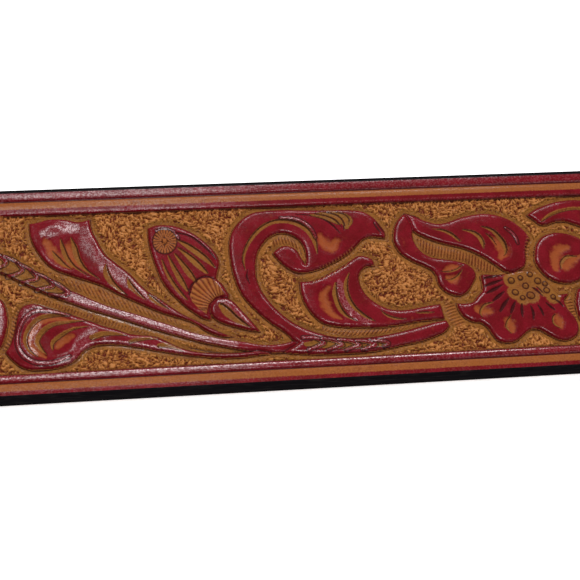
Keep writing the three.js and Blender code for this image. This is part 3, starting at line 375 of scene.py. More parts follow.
STROKES = (
    # Under the scroll, between it and the curled leaf, and below the broad leaf's ridge.
    Strokes(((4.4, -8.8), (6.5, -9.6), (9, -9.95), (12, -10), (15, -10), (18, -9.85), (21, -9.5), (21.5, -9.9),
            (18.5, -10.5), (15, -11.05), (12, -11.3), (9, -11.2), (6.4, -10.7), (4.6, -9.8)), 0.56, lean=52),
    Strokes(((22.9, 7.4), (24.4, 6.3), (26.4, 5.3), (28.8, 4.6), (31, 3.9), (33, 2.9), (34.8, 1.7), (36.6, 0.2),
            (36.4, -0.7), (34.4, -0.6), (33, 0.2), (31.4, 1.3), (29.6, 2), (27.4, 2.5), (25.4, 3), (24, 4),
            (23.2, 5.6)), 0.55, lean=76),
    # The scroll's inner curl, the fan beside the bud and the ends of the leaves.
    Strokes(((-2.2, 7.6), (-0.8, 8.2), (0.8, 7.9), (2, 7), (2.7, 5.6), (3, 3.8), (2.5, 3.9), (1.7, 5.5), (0.3, 6.5),
            (-1.2, 6.4), (-2.6, 5.6)), 0.52, lean=100),
    Strokes(((-16.4, -0.9), (-16, 0), (-14.9, 0.5), (-13.4, 0.6), (-12.3, -0.1), (-11.5, -1.3), (-11, -2.7),
            (-12.6, -3.2), (-13.7, -4.3), (-14.2, -6.3), (-15.4, -5.3), (-16.6, -3.9),
            (-17, -2.7)), 9, centre=(-11.6, -5.2)),
    Strokes(((5.2, 1.7), (8, 3), (10.4, 4.5), (11.6, 5.7), (12.2, 4.9), (11, 3.4), (8.4, 1.9),
            (5.6, 0.6)), 0.62, lean=122, strength=0.7),
    Strokes(((3.6, -0.6), (6, 0.2), (8.4, 1.3), (10.6, 2.7), (10.6, 1.7), (8.6, 0.4), (6, -0.7),
            (4, -1.5)), 0.6, lean=60, strength=0.8),
    # Beside the lower leaf and between it and the stem.
    Strokes(((-47.6, -10.6), (-46.8, -9), (-46.3, -7), (-46, -5), (-45.4, -3.4), (-44.6, -2.8), (-44.9, -4.4),
            (-45.2, -6.4), (-45.6, -8.4), (-46.6, -10.9)), 0.6, lean=-35),
    Strokes(((-42, -1.2), (-39, -2.6), (-35, -4.2), (-31, -5.9), (-27, -7.4), (-23, -9), (-19.5, -10.2),
            (-19.5, -10.9), (-22, -9.7), (-25, -8.9), (-28, -8.1), (-31, -7.1), (-35, -5.3), (-39, -3.7),
            (-42, -2.6)), 0.55, lean=68, strength=0.75),
    Strokes(((-38, 2.3), (-35, 1.1), (-31, -0.5), (-27, -2.8), (-23, -4.9), (-19, -6.7), (-19, -7.6), (-23, -6.1),
            (-27, -4.6), (-31, -3), (-35, -0.9), (-38, 1)), 0.55, lean=-66, strength=0.7),
    Strokes(((47.3, -6), (48.9, -6.2), (49.1, -8), (49.2, -10.2), (48.5, -10.4), (47.9, -8.4)), 0.56, lean=8),
    Strokes(((26.4, -5.4), (28.2, -6), (28.4, -8), (29.8, -10), (27.6, -10.8), (26.5, -9.4),
            (26.1, -7.4)), 0.56, lean=18, strength=0.8),
    Strokes(((41.7, 1.4), (42.6, 1.6), (43.2, 3.6), (43.9, 5.6), (43.2, 7), (42.6, 5.6),
            (42, 3.6)), 0.6, lean=8, strength=0.8),
)


def eased(share: Array) -> Array:
    """Rises smoothly from 0 to 1 as the share does: three times its square less twice its cube."""
    share = np.clip(share, 0, 1)
    return share * share * (3 - 2 * share)


def rounding(share: Array) -> Array:
    """How far a quarter circle has fallen below its top, as the share goes from 0 to 1."""
    return 1 - np.sqrt(1 - share**2)


def bell(distance: Array, reach: float) -> Array:
    """Falls from 1 at no distance towards 0 past the reach."""
    return np.exp(-((distance / reach) ** 2))


def hills(x: Array, y: Array, seed: int, period: int) -> Array:
    """Smooth random hills and dips about 1 apart, from -1 to 1.

    Each whole-number place holds a random slope, and the height is the eased blend of the four slopes
    around a point. The table of random turns is read at places far apart for neighbours.

    Args:
        x, y: where to take the height.
        seed: which random slopes.
        period: after how many steps along x the pattern repeats.
    Returns:
        The heights.
    """
    table, next_column, next_row = 8192, 131, 1731
    turns = np.random.default_rng(seed).random(table) * 2 * np.pi
    column, row = np.floor(x).astype(np.int64), np.floor(y).astype(np.int64)
    across, up = x - column, y - row

    def slope(right: int, above: int) -> Array:
        """The height that one corner's slope gives."""
        turn = turns[((column + right) % period * next_column + (row + above) * next_row) % table]
        return np.cos(turn) * (across - right) + np.sin(turn) * (up - above)

    low = slope(0, 0) + (slope(1, 0) - slope(0, 0)) * eased(across)
    high = slope(0, 1) + (slope(1, 1) - slope(0, 1)) * eased(across)
    return 1.6 * (low + (high - low) * eased(up))


def curve(points: tuple[tuple[float, ...], ...], steps: int, closed: bool) -> Array:
    """A smooth curve through points; where a point is given twice it turns a sharp corner there.

    Between two points it is a Hermite cubic whose end slopes are those of the parabola through the
    neighbours, or of the straight line at a corner.

    Args:
        points: the places it passes, with any further values, such as a half-width, carried along.
        steps: how many pieces there are between two points.
        closed: whether it comes back to the first point.
    Returns:
        One row for each place on the curve.
    """
    all_points = np.array(points, float)
    twice = np.all(all_points == np.roll(all_points, -1, 0), 1)
    keep = ~np.roll(twice, 1)
    corner = twice[keep]
    knots = all_points[keep]
    ahead = np.roll(knots, -1, 0) - knots
    if not closed:
        corner[[0, -1]] = True
    length = np.maximum(np.hypot(ahead[:, 0], ahead[:, 1]), 1e-6)[:, None]
    rate = ahead / length
    behind_rate, behind_length = np.roll(rate, 1, 0), np.roll(length, 1, 0)
    middle = (rate * behind_length + behind_rate * length) / (length + behind_length)
    leaving = np.where(corner[:, None], rate, middle) * length
    arriving = np.roll(np.where(corner[:, None], behind_rate, middle), -1, 0) * length
    t = (np.arange(steps) / steps)[None, :, None]
    start, end = knots[:, None], np.roll(knots, -1, 0)[:, None]
    drawn = (start * (2 * t**3 - 3 * t**2 + 1) + leaving[:, None] * (t**3 - 2 * t**2 + t)
             + end * (3 * t**2 - 2 * t**3) + arriving[:, None] * (t**3 - t**2))
    if closed:
        return drawn.reshape(-1, knots.shape[1])
    return np.vstack([drawn[:-1].reshape(-1, knots.shape[1]), knots[-1:]])


def inside_by(outline: Array, u: Array, v: Array) -> Array:
    """How far each point lies inside a closed outline, and less than 0 outside it.

    The distance is to the nearest of the outline's straight pieces, and a point is inside where a line
    from it to the right crosses the outline an odd number of times.

    Args:
        outline: one row for each of the outline's points.
        u, v: where the points are.
    Returns:
        The distances.
    """
    start, end = outline, np.roll(outline, -1, 0)
    along = end - start
    square = np.maximum((along**2).sum(1), 1e-12)
    result = np.empty(len(u))
    at_once = 4000
    for first in range(0, len(u), at_once):
        some = slice(first, first + at_once)
        du, dv = u[some, None] - start[None, :, 0], v[some, None] - start[None, :, 1]
        share = np.clip((du * along[:, 0] + dv * along[:, 1]) / square, 0, 1)
        distance = np.sqrt(((du - share * along[:, 0]) ** 2 + (dv - share * along[:, 1]) ** 2).min(1))
        spans = (dv < 0) != (dv - along[:, 1] < 0)
        left = (du * along[:, 1] - dv * along[:, 0]) * np.where(along[:, 1] > 0, 1, -1) < 0
        odd = (spans & left).sum(1) % 2 == 1
        result[some] = np.where(odd, distance, -distance)
    return result


def beside(line: Array, u: Array, v: Array) -> tuple[Array, Array]:
    """Where points lie beside an open line that carries a half-width.

    The nearest place on the line's straight pieces gives the distance, and which side of that piece a
    point is on gives the sign.

    Args:
        line: one row for each of the line's points, with the half-width there.
        u, v: where the points are.
    Returns:
        How far each point is to the left of the line, and the half-width there.
    """
    start, along = line[:-1], line[1:] - line[:-1]
    square = np.maximum((along[:, :2] ** 2).sum(1), 1e-12)
    du, dv = u[:, None] - start[None, :, 0], v[:, None] - start[None, :, 1]
    share = np.clip((du * along[:, 0] + dv * along[:, 1]) / square, 0, 1)
    distance = np.hypot(du - share * along[:, 0], dv - share * along[:, 1])
    nearest = distance.argmin(1)
    rows = np.arange(len(u))
    half = start[nearest, 2] + share[rows, nearest] * along[nearest, 2]
    turn = along[nearest, 0] * dv[rows, nearest] - along[nearest, 1] * du[rows, nearest]
    return np.sign(turn) * distance[rows, nearest], np.maximum(half, 0.02)


@dataclass
class Relief:
    """What the tools and the stain leave at each place on the face.

    Heights and distances are in millimetres, and masks run from 0 to 1.
    """

    height: Array
    stain: Array  # how far inside the red stain
    black: Array  # how far inside the edge's black paint
    crease: Array  # mask of the dark lines
    glow: Array  # mask of the rubbed, orange hollows
    matting: Array  # ridges above 0 and furrows below, 0 where there is none
    ground: Array  # mask of the sunk field round the forms
    shine: Array  # how well it is polished, which sets the coat's gloss and where a pink sheen is painted
    strokes: Array  # mask of the fine strokes
    phase: Array  # which stroke, counted from the patch's side

    def fields(self) -> dict[str, Array]:
        """The values that the leather's finish reads, by the names of the mesh's attributes."""
        return {name: values for name, values in vars(self).items() if name != "height"}

    def each(self, work: Callable[[Array], Array]) -> "Relief":
        """The same work done on every one of the values."""
        return Relief(**{name: work(values) for name, values in vars(self).items()})

    def towards(self, other: "Relief", share: Array) -> "Relief":
        """Goes from this relief to another as the share goes from 0 to 1."""
        return Relief(**{name: values * (1 - share) + getattr(other, name) * share
                         for name, values in vars(self).items()})

    def at_least(self, name: str, hit: Array, values: Array) -> None:
        """Brings one of the values up to these, at the points that are hit."""
        kept = getattr(self, name)
        kept[hit] = np.maximum(kept[hit], values)

    def at_most(self, name: str, hit: Array, values: Array) -> None:
        """Brings one of the values down to these, at the points that are hit."""
        kept = getattr(self, name)
        kept[hit] = np.minimum(kept[hit], values)


@dataclass(frozen=True)
class Border:
    """One side's border, measured in from the strap's edge in millimetres.

    The stain is given as places and how far inside the red each is. The rim is where the edge's gloss and
    painted pink sheen end, and the wall is how wide the step down into the field is.
    """

    black: float
    groove: float
    groove_half: float
    field: float
    stain_at: tuple[float, ...]
    stain: tuple[float, ...]
    rim: float
    bare_shine: float
    inner_shine: float
    bevel: float = 0.55
    bevel_drop: float = 0.42
    groove_depth: float = 0.34
    crown: float = 0.05
    wall: float = 0.34

    def relief(self, inset: Array, field_depth: Array) -> Relief:
        """The border alone: a rounded edge, a groove and a rounded step down into the field.

        Args:
            inset: how far in from the edge each point is.
            field_depth: how deep the field is beside it.
        Returns:
            The relief, with the field's plain floor past the step.
        """
        past_edge = np.clip(1 - inset / self.bevel, 0, 1)
        step = np.clip((inset - self.field) / self.wall, 0, 1)
        height = -self.bevel_drop * rounding(past_edge)
        height -= self.groove_depth * bell(inset - self.groove, self.groove_half)
        height -= field_depth * rounding(step)
        rim = np.clip(inset / self.groove, 0, 1)
        band = np.clip((inset - self.groove) / (self.field - self.groove), 0, 1)
        tooled = eased(field_depth * 4)
        crowned = np.where(inset < self.groove, (2 * rim - 1) ** 2, 1 + ((2 * band - 1) ** 2 - 1) * tooled)
        height -= self.crown * crowned
        stain = np.interp(inset, self.stain_at, self.stain)
        # Gloss, which on the red also paints a pink sheen: along the rim, over the inner band, and as a painted
        # highlight line at the step down into the field.
        shine = self.bare_shine + 0.3 * eased((self.rim - inset) * 4)
        shine = shine + 0.5 * tooled * bell(inset - self.field + 0.1, 0.15)
        shine += (self.inner_shine - self.bare_shine) * tooled * eased(stain * 4) * eased((inset - self.groove) * 4)
        none = np.zeros_like(inset)
        crease = np.maximum(bell(inset - self.groove, self.groove_half * 0.75),
                            bell(inset - self.field - self.wall, 0.13) * tooled)
        return Relief(height, stain, self.black - inset, crease, none, none, none, shine, none, none)


FAR_BORDER = Border(
    black=0.8, groove=2.4, groove_half=0.24, field=4.85, rim=2.4, bare_shine=0.16, inner_shine=0.12,
    stain_at=(0, 0.8, 2.2, 2.55, 2.75, 3.3, 3.95, 4.5, 5.2, 8),
    stain=(0.4, 0.4, 0.3, 0.05, -0.25, -0.6, 0, 0.4, 0.4, 0.4))
NEAR_BORDER = Border(
    black=0.3, groove=2.57, groove_half=0.17, field=3.72, rim=1.3, bare_shine=0.05, inner_shine=0.48,
    stain_at=(0, 0.5, 1.22, 1.8, 2.4, 2.55, 3.2, 3.95, 8),
    stain=(0.4, 0.4, 0, -0.6, -0.2, 0.1, 0.5, 0.4, 0.4))
BORDER_BLEND = 4.0


def border_relief(inset: Array, v: Array, field_depth: Array) -> Relief:
    """The two sides' borders, blended into each other within a few millimetres of the middle.

    Args:
        inset: how far in from the nearer edge each point is.
        v: how far across the strap it is.
        field_depth: how deep the field is beside it.
    Returns:
        The relief of both.
    """
    share = eased((v + BORDER_BLEND) / (2 * BORDER_BLEND))
    near, far = NEAR_BORDER.relief(inset, field_depth), FAR_BORDER.relief(inset, field_depth)
    return near.towards(far, share)


@dataclass
class ToolPass:
    """One tool's pass along one mark: the points it may reach, and where they lie beside its middle line."""

    relief: Relief
    hit: Array
    depth: float
    left: Array  # how far to the left of the mark's middle line
    half: Array  # the mark's half-width there

    def __post_init__(self) -> None:
        """Works out how far inside the mark each point is, and its share of the half-width."""
        self.within = self.half - np.abs(self.left)
        self.aside = self.left / self.half
        self.arch = np.clip(1 - self.aside**2, 0, 1)

    def hollow(self) -> None:
        """A broad soft dish that keeps its stain: deepest along the middle, by the square of the arch."""
        self.relief.height[self.hit] -= self.depth * self.arch**2

    def bowl(self) -> None:
        """A soft dish where the stain is rubbed to orange."""
        self.hollow()
        self.relief.at_least("glow", self.hit, self.arch**2)

    def bare(self) -> None:
        """A strip that is sunk evenly and loses its stain, with a dark line along its sides."""
        self.relief.height[self.hit] -= self.depth * eased(self.within / 0.3)
        self.relief.at_most("stain", self.hit, -self.within)
        self.relief.at_least("ground", self.hit, eased(self.within / 0.15))
        self.relief.at_least("crease", self.hit, 0.8 * bell(self.within, 0.1))

    def ridge(self) -> None:
        """An arched line that stands up, stained and polished, with a painted pink sheen on its top and dark lines
        outside it.
        """
        self.relief.height[self.hit] += self.depth * self.arch
        self.relief.at_least("crease", self.hit, 1.2 * bell(self.within + 0.15, 0.12))
        on_it = self.within > -0.02
        top = self.hit[on_it]
        self.relief.at_least("stain", top, self.within[on_it] + 0.08)
        self.relief.ground[top] = self.relief.crease[top] = 0
        # Gloss on the top, which also paints a pink sheen into its colour.
        self.relief.shine[top] = 0.6

    def polish(self) -> None:
        """A patch that is rubbed to a gloss, with a painted pink sheen in its colour, most along its middle."""
        self.relief.shine[self.hit] += self.depth * self.arch

    def slit(self) -> None:
        """A slit that slopes down from its right side over four fifths of its width, and is steep on its left."""
        share = (np.clip(self.aside, -1, 1) + 1) / 2
        slope = np.minimum(share / 0.8, (1 - share) / 0.2)
        self.relief.height[self.hit] -= self.depth * slope * eased((self.within + 0.02) / 0.12)
        self.relief.at_most("stain", self.hit, -self.within)
        self.relief.at_least("ground", self.hit, 0.8 * eased((self.within + 0.05) / 0.15))
        self.relief.glow[self.hit] *= 1 - 0.8 * eased(self.within / 0.2)
        steep = self.left - 0.75 * self.half
        self.relief.at_least("crease", self.hit, bell(steep, 0.16) * eased((self.within + 0.1) / 0.1))

    def cut(self) -> None:
        """A narrow V, dark all over."""
        self.relief.height[self.hit] -= self.depth * np.clip(1 - np.abs(self.aside), 0, 1)
        self.relief.at_least("crease", self.hit, eased((self.within + 0.1) / 0.16))


@dataclass
class Tooling:
    """The pattern tooled into one repeat of the strap, which runs on into the next. Millimetres."""

    repeat: float = 112.0
    half_width: float = 19.0
    deepest: float = 0.78
    floor_rise: float = 0.16
    crown: float = 0.1
    crown_reach: float = 2.2
    matting_height: float = 0.26
    beyond: float = 3.0
    shape_margin: float = 2.2
    mark_margin: float = 0.3
    wider: float = 1.25
    button: Point = (-20.7, 7.75)
    button_size: Point = (2.0, 2.35)
    button_spokes: int = 22
    u: Array = field(init=False)
    v: Array = field(init=False)
    face: Relief = field(init=False)

    def __post_init__(self) -> None:
        """Draws each form's outline once. The lower band runs on from the scroll, so they are one group."""
        self.shapes = [curve(form.outline, 5, True) for form in FORMS]
        names = [form.name for form in FORMS]
        joined = {"lower_band": "scroll"}
        self.groups = [[i for i, other in enumerate(names) if joined.get(other, other) == name]
                       for name in names if name not in joined]

    def around(self, shape: Array, margin: float) -> list[tuple[Array, float]]:
        """The points near a shape, for each of the repeats that it reaches into.

        Args:
            shape: one row for each of the shape's points.
            margin: how far past them to look.
        Returns:
            The numbers of the points that are near, with each repeat's shift along the belt.
        """
        low, high = shape[:, :2].min(0) - margin, shape[:, :2].max(0) + margin
        found = []
        for shift in (-self.repeat, 0.0, self.repeat):
            along, up = self.u - shift, self.v
            hit = np.flatnonzero((along > low[0]) & (along < high[0]) & (up > low[1]) & (up < high[1]))
            if len(hit):
                found.append((hit, shift))
        return found

    def matting(self) -> Array:
        """Short wavering ridges with furrows between: furrows run where warped, stretched hills cross zero.

        Two sets of hills, stretched along the belt and across it, are mixed by a third, broad one.

        Returns:
            The ridges, from -1 in a furrow to 1 on a ridge.
        """
        u, v, period = self.u, self.v, int(self.repeat)
        bend_u = hills(u * 0.5, v * 0.5, 11, period // 2)
        bend_v = hills(u * 0.5, v * 0.5, 12, period // 2)
        sway = hills(u * 0.25, v * 0.25, 13, period // 4)
        first = hills((u + 0.7 * bend_u) * 1.125, (v + 0.5 * bend_v) * 3.1, 14, period * 9 // 8)
        second = hills((u + 0.4 * bend_v) * 2.75, (v - 0.7 * bend_u) * 1.25, 15, period * 11 // 4)
        mixed = first + (second - first) * eased(0.5 + 1.6 * sway)
        return 2 * eased(np.abs(mixed) / 0.3) - 1

    def forms(self) -> Array:
        """Lays the raised forms down in order, each over the ones before it.

        A form's side is a quarter circle up to its top, which rises a little further towards its
        middle. Where it lies over another, a line is cut round it.

        Returns:
            How far each point is inside the nearest form, and less than 0 outside them all.
        """
        u, v, face = self.u, self.v, self.face
        nearest = np.full(len(u), -self.beyond)
        covered = np.zeros(len(u), bool)
        for group in self.groups:
            within = np.full(len(u), -self.beyond)
            for i in group:
                for hit, shift in self.around(self.shapes[i], self.shape_margin):
                    found = inside_by(self.shapes[i], u[hit] - shift, v[hit])
                    within[hit] = np.maximum(within[hit], found)
            form = FORMS[group[0]]
            side = np.clip(1 - within / form.shoulder, 0, 1)
            slope = 0.3 * form.shoulder * np.clip(1 - within / (2.3 * form.shoulder), 0, 1) ** 2
            level = form.rise - self.crown + self.crown * eased(within / self.crown_reach) - slope
            top = -self.deepest + (self.deepest + level) * np.sqrt(1 - side**2)
            inside = within > 0
            face.height -= np.where(covered & ~inside, 0.26 * bell(within, 0.3), 0)
            face.height = np.where(inside, top, face.height)
            face.crease = np.maximum(np.where(inside, 0, face.crease), bell(within + 0.05, 0.1))
            face.stain = np.where(inside, np.maximum(within - 0.05, 0.02), face.stain)
            # A band of gloss along each form's shoulder, which also paints a pink highlight line into the colour all
            # round the form.
            rubbed = 0.02 + 0.45 * bell(within - 1.05 * form.shoulder, 0.2)
            face.shine = np.where(inside, rubbed, face.shine)
            covered |= inside
            nearest = np.maximum(nearest, within)
        return nearest

    def marks(self) -> None:
        """Works the hollows, slits, cuts and ridges into the forms, each over the ones before it."""
        u, v, face = self.u, self.v, self.face
        for kind, marks in TOOLWORK:
            wider = self.wider if kind in (Stroke.BOWL, Stroke.RIDGE) else 1
            for depth, *knots in marks:
                line = curve(tuple(knots), 5, False)
                margin = line[:, 2].max() * self.wider + self.mark_margin
                for hit, shift in self.around(line, margin):
                    left, half = beside(line, u[hit] - shift, v[hit])
                    getattr(ToolPass(face, hit, depth, left, half * wider), kind.value)()

    def seeds(self) -> None:
        """Raises the flower's round seeds: each is a half ball in a bare, sunk patch with a dark line round it."""
        u, v, face, places = self.u, self.v, self.face, np.array(SEEDS)
        for hit, shift in self.around(places, 1.5):
            gap = np.hypot(u[hit, None] - shift - places[:, 0], v[hit, None] - places[:, 1]) - places[:, 2]
            gap = gap.min(1)
            face.height[hit] += 0.3 * np.sqrt(np.clip(-gap / 0.4, 0, 1)) - 0.12 * eased((1.2 - gap) / 0.8)
            face.at_least("crease", hit, bell(gap - 0.12, 0.17))
            near = gap < 1.5
            face.at_most("stain", hit[near], -0.4 + 0.5 * eased(gap[near] / 1.4))
            face.at_least("ground", hit, 0.7 * eased((1.2 - gap) / 0.4))

    def stamp_button(self) -> None:
        """Stamps the bud's spoked button: a bare disc cut by spokes, with a ball in its middle."""
        u, v, face = self.u, self.v, self.face
        for hit, shift in self.around(np.array([self.button]), 2.6):
            du = (u[hit] - shift - self.button[0]) / self.button_size[0]
            dv = (v[hit] - self.button[1]) / self.button_size[1]
            out, turn = np.hypot(du, dv), np.arctan2(dv, du)
            disc, ball = eased((1.02 - out) / 0.06), eased((0.2 - out) / 0.06)
            spoke = 0.5 + 0.5 * np.cos(self.button_spokes * turn)
            cut = 0.16 * spoke * eased((out - 0.16) / 0.2) * eased((1 - out) / 0.2)
            face.height[hit] += disc * (0.08 - cut) + 0.2 * ball
            face.crease[hit] *= 1 - disc
            face.at_least("crease", hit, bell((out - 1.03) * 2, 0.14))
            face.at_least("crease", hit, disc * eased(1.8 * spoke - 0.7) * (1 - ball))
            near = out < 1.05
            face.at_most("stain", hit[near], -0.4 * disc[near])

    def strokes(self) -> None:
        """Counts the fine strokes across each patch: along its lean, or by the turn about its centre."""
        u, v, face = self.u, self.v, self.face
        for patch in STROKES:
            outline = np.array(patch.outline)
            for hit, shift in self.around(outline, 0.1):
                near_u = u[hit] - shift
                mask = patch.strength * eased(inside_by(outline, near_u, v[hit]) / 0.3)
                if patch.centre:
                    count = np.degrees(np.arctan2(v[hit] - patch.centre[1], near_u - patch.centre[0]))
                else:
                    lean = math.radians(patch.lean)
                    count = near_u * math.sin(lean) - v[hit] * math.cos(lean)
                stronger = mask > face.strokes[hit]
                face.phase[hit[stronger]] = count[stronger] / patch.spacing
                face.strokes[hit[stronger]] = mask[stronger]
                if patch.centre:
                    face.at_most("stain", hit, 0.3 - 0.7 * mask)

    def relief(self, u: Array, v: Array) -> Relief:
        """The whole face at points within one repeat, border and tooled field.

        The field's floor is deepest beside a form and rises a little away from it, where the matting is.

        Args:
            u, v: where the points are.
        Returns:
            Their relief.
        """
        none = np.zeros(len(u))
        start = {"height": none - 0.4, "stain": none - 1, "black": none - 9, "shine": none + 0.04}
        inner = Relief(**{name: start.get(name, none.copy()) for name in Relief.__dataclass_fields__})
        self.u, self.v, self.face = u, v, inner
        nearest = self.forms()
        for work in (self.marks, self.seeds, self.stamp_button, self.strokes):
            work()
        outside = np.clip(-nearest, 0, self.beyond)
        ground = nearest <= 0
        inner.ground = np.maximum(inner.ground, eased((0.1 - nearest) / 0.3))
        open_ground = ground * eased((outside - 0.5) / 0.45) * (1 - inner.strokes)
        inner.matting = self.matting() * open_ground
        floor = -self.deepest + self.floor_rise * eased(outside / 1.3) + self.matting_height * inner.matting
        uneven = 0.04 * hills(u * 0.25, v * 0.25, 21, int(self.repeat / 4))
        uneven = uneven + 0.012 * hills(u, v, 22, int(self.repeat))
        inner.height = np.where(ground, floor + np.minimum(inner.height + 0.4, 0), inner.height + uneven)
        inner.stain = np.where(ground, np.minimum(inner.stain, -outside), inner.stain)
        inset = self.half_width - np.abs(v)
        outer = border_relief(inset, v, none + self.deepest + 0.05)
        edge = np.where(v > 0, FAR_BORDER.field + FAR_BORDER.wall, NEAR_BORDER.field + NEAR_BORDER.wall)
        inner.matting *= eased((inset - edge) / 0.5)
        inner.ground *= eased((inset - edge) / 0.3)
        blended = {name: np.where(inset > edge, values, getattr(outer, name))
                   for name, values in vars(inner).items()}
        blended["crease"] = np.maximum(blended["crease"], outer.crease)
        on_wall = (inset < edge) & (inset > edge - Border.wall)
        over_wall = np.maximum(outer.height, np.minimum(inner.height, 0))
        blended["height"] = np.where(on_wall, over_wall, np.where(inset < edge, outer.height, inner.height))
        return Relief(**blended)


class Value:
    """A shader's value that is worked with as a number is: +, -, * and / add the nodes for it."""

    def __init__(self, shader: "Shader", socket: bpy.types.NodeSocket) -> None:
        """Wraps one of the shader's output sockets."""
        self.shader = shader
        self.socket = socket

    def __add__(self, other: "Value | float") -> "Value":
        """This value and another, added."""
        return self.shader.math("ADD", self, other)

    def __sub__(self, other: "Value | float") -> "Value":
        """This value less another."""
        return self.shader.math("SUBTRACT", self, other)

    def __rsub__(self, other: float) -> "Value":
        """A number less this value."""
        return self.shader.math("SUBTRACT", other, self)

    def __mul__(self, other: "Value | float") -> "Value":
        """This value times another."""
        return self.shader.math("MULTIPLY", self, other)

    __radd__ = __add__
    __rmul__ = __mul__


Input = Value | float | tuple[float, ...]


class Shader:
    """One material's nodes, with the parts that the belt's finishes share."""

    def __init__(self, name: str) -> None:
        """Makes an empty material with an output.

        Args:
            name: the material's name.
        """
        self.material = bpy.data.materials.new(name)
        self.material.use_nodes = True
        self.tree = self.material.node_tree
        self.tree.nodes.clear()
        self.out = self.tree.nodes.new("ShaderNodeOutputMaterial")

    def node(self, kind: str, settings: dict[str, object], sockets: dict[str | int, Input],
             output: str | int = 0) -> Value:
        """Adds a node.

        Args:
            kind: the node's type.
            settings: its settings, which are set first.
            sockets: a value or a link for each input socket, by name or number.
            output: which output socket to return.
        Returns:
            That output.
        """
        made = self.tree.nodes.new(kind)
        for key, value in settings.items():
            setattr(made, key, value)
        for key, value in sockets.items():
            if isinstance(value, Value):
                self.tree.links.new(value.socket, made.inputs[key])
            else:
                made.inputs[key].default_value = value
        return Value(self, made.outputs[output])

    def math(self, operation: str, first: Input, second: Input = 0.0) -> Value:
        """One step of arithmetic."""
        return self.node("ShaderNodeMath", {"operation": operation}, {0: first, 1: second})

    def rise(self, value: Value, low: float, high: float) -> Value:
        """Goes smoothly from 0 to 1 as the value goes from low to high."""
        sockets = {"Value": value, "From Min": low, "From Max": high}
        return self.node("ShaderNodeMapRange", {"interpolation_type": "SMOOTHSTEP"}, sockets)

    def blend(self, mask: Value, first: Input, second: Input) -> Value:
        """Goes from the first colour to the second as the mask goes from 0 to 1."""
        return self.node("ShaderNodeMix", {"data_type": "RGBA"}, {0: mask, 6: first, 7: second}, 2)

    def field(self, name: str) -> Value:
        """One of the mesh's own values."""
        return self.node("ShaderNodeAttribute", {"attribute_name": name}, {}, "Fac")

    def place(self, stretch: Triple = (1, 1, 1)) -> Value:
        """The place on the object in millimetres, stretched along each axis."""
        sockets = {0: self.node("ShaderNodeTexCoord", {}, {}, "Object"), 1: tuple(part / MM for part in stretch)}
        return self.node("ShaderNodeVectorMath", {"operation": "MULTIPLY"}, sockets)

    def noise(self, place: Value, per_mm: float, detail: float = 2.0, warp: float = 0.0) -> Value:
        """Soft noise about 0.5."""
        sockets = {"Vector": place, "Scale": per_mm, "Detail": detail, "Distortion": warp}
        return self.node("ShaderNodeTexNoise", {}, sockets)

    def pebbles(self, place: Value, per_mm: float) -> Value:
        """Rounded leather grain: the distance from the middle of the nearest cell."""
        settings = {"feature": "SMOOTH_F1"}
        return self.node("ShaderNodeTexVoronoi", settings, {"Vector": place, "Scale": per_mm, "Smoothness": 0.6})

    def bump(self, height: Value, distance: float, strength: float = 1.0) -> Value:
        """Turns a height into a normal, for heights of 0 to 1 that stand for a distance in metres."""
        return self.node("ShaderNodeBump", {}, {"Height": height, "Distance": distance, "Strength": strength})

    def finish(self, sockets: dict[str, Input]) -> Material:
        """Joins the surface shader to the output.

        Args:
            sockets: a value or a link for each of the surface shader's sockets.
        Returns:
            The material.
        """
        surface = self.node("ShaderNodeBsdfPrincipled", {}, sockets)
        self.tree.links.new(surface.socket, self.out.inputs["Surface"])
        return self.material


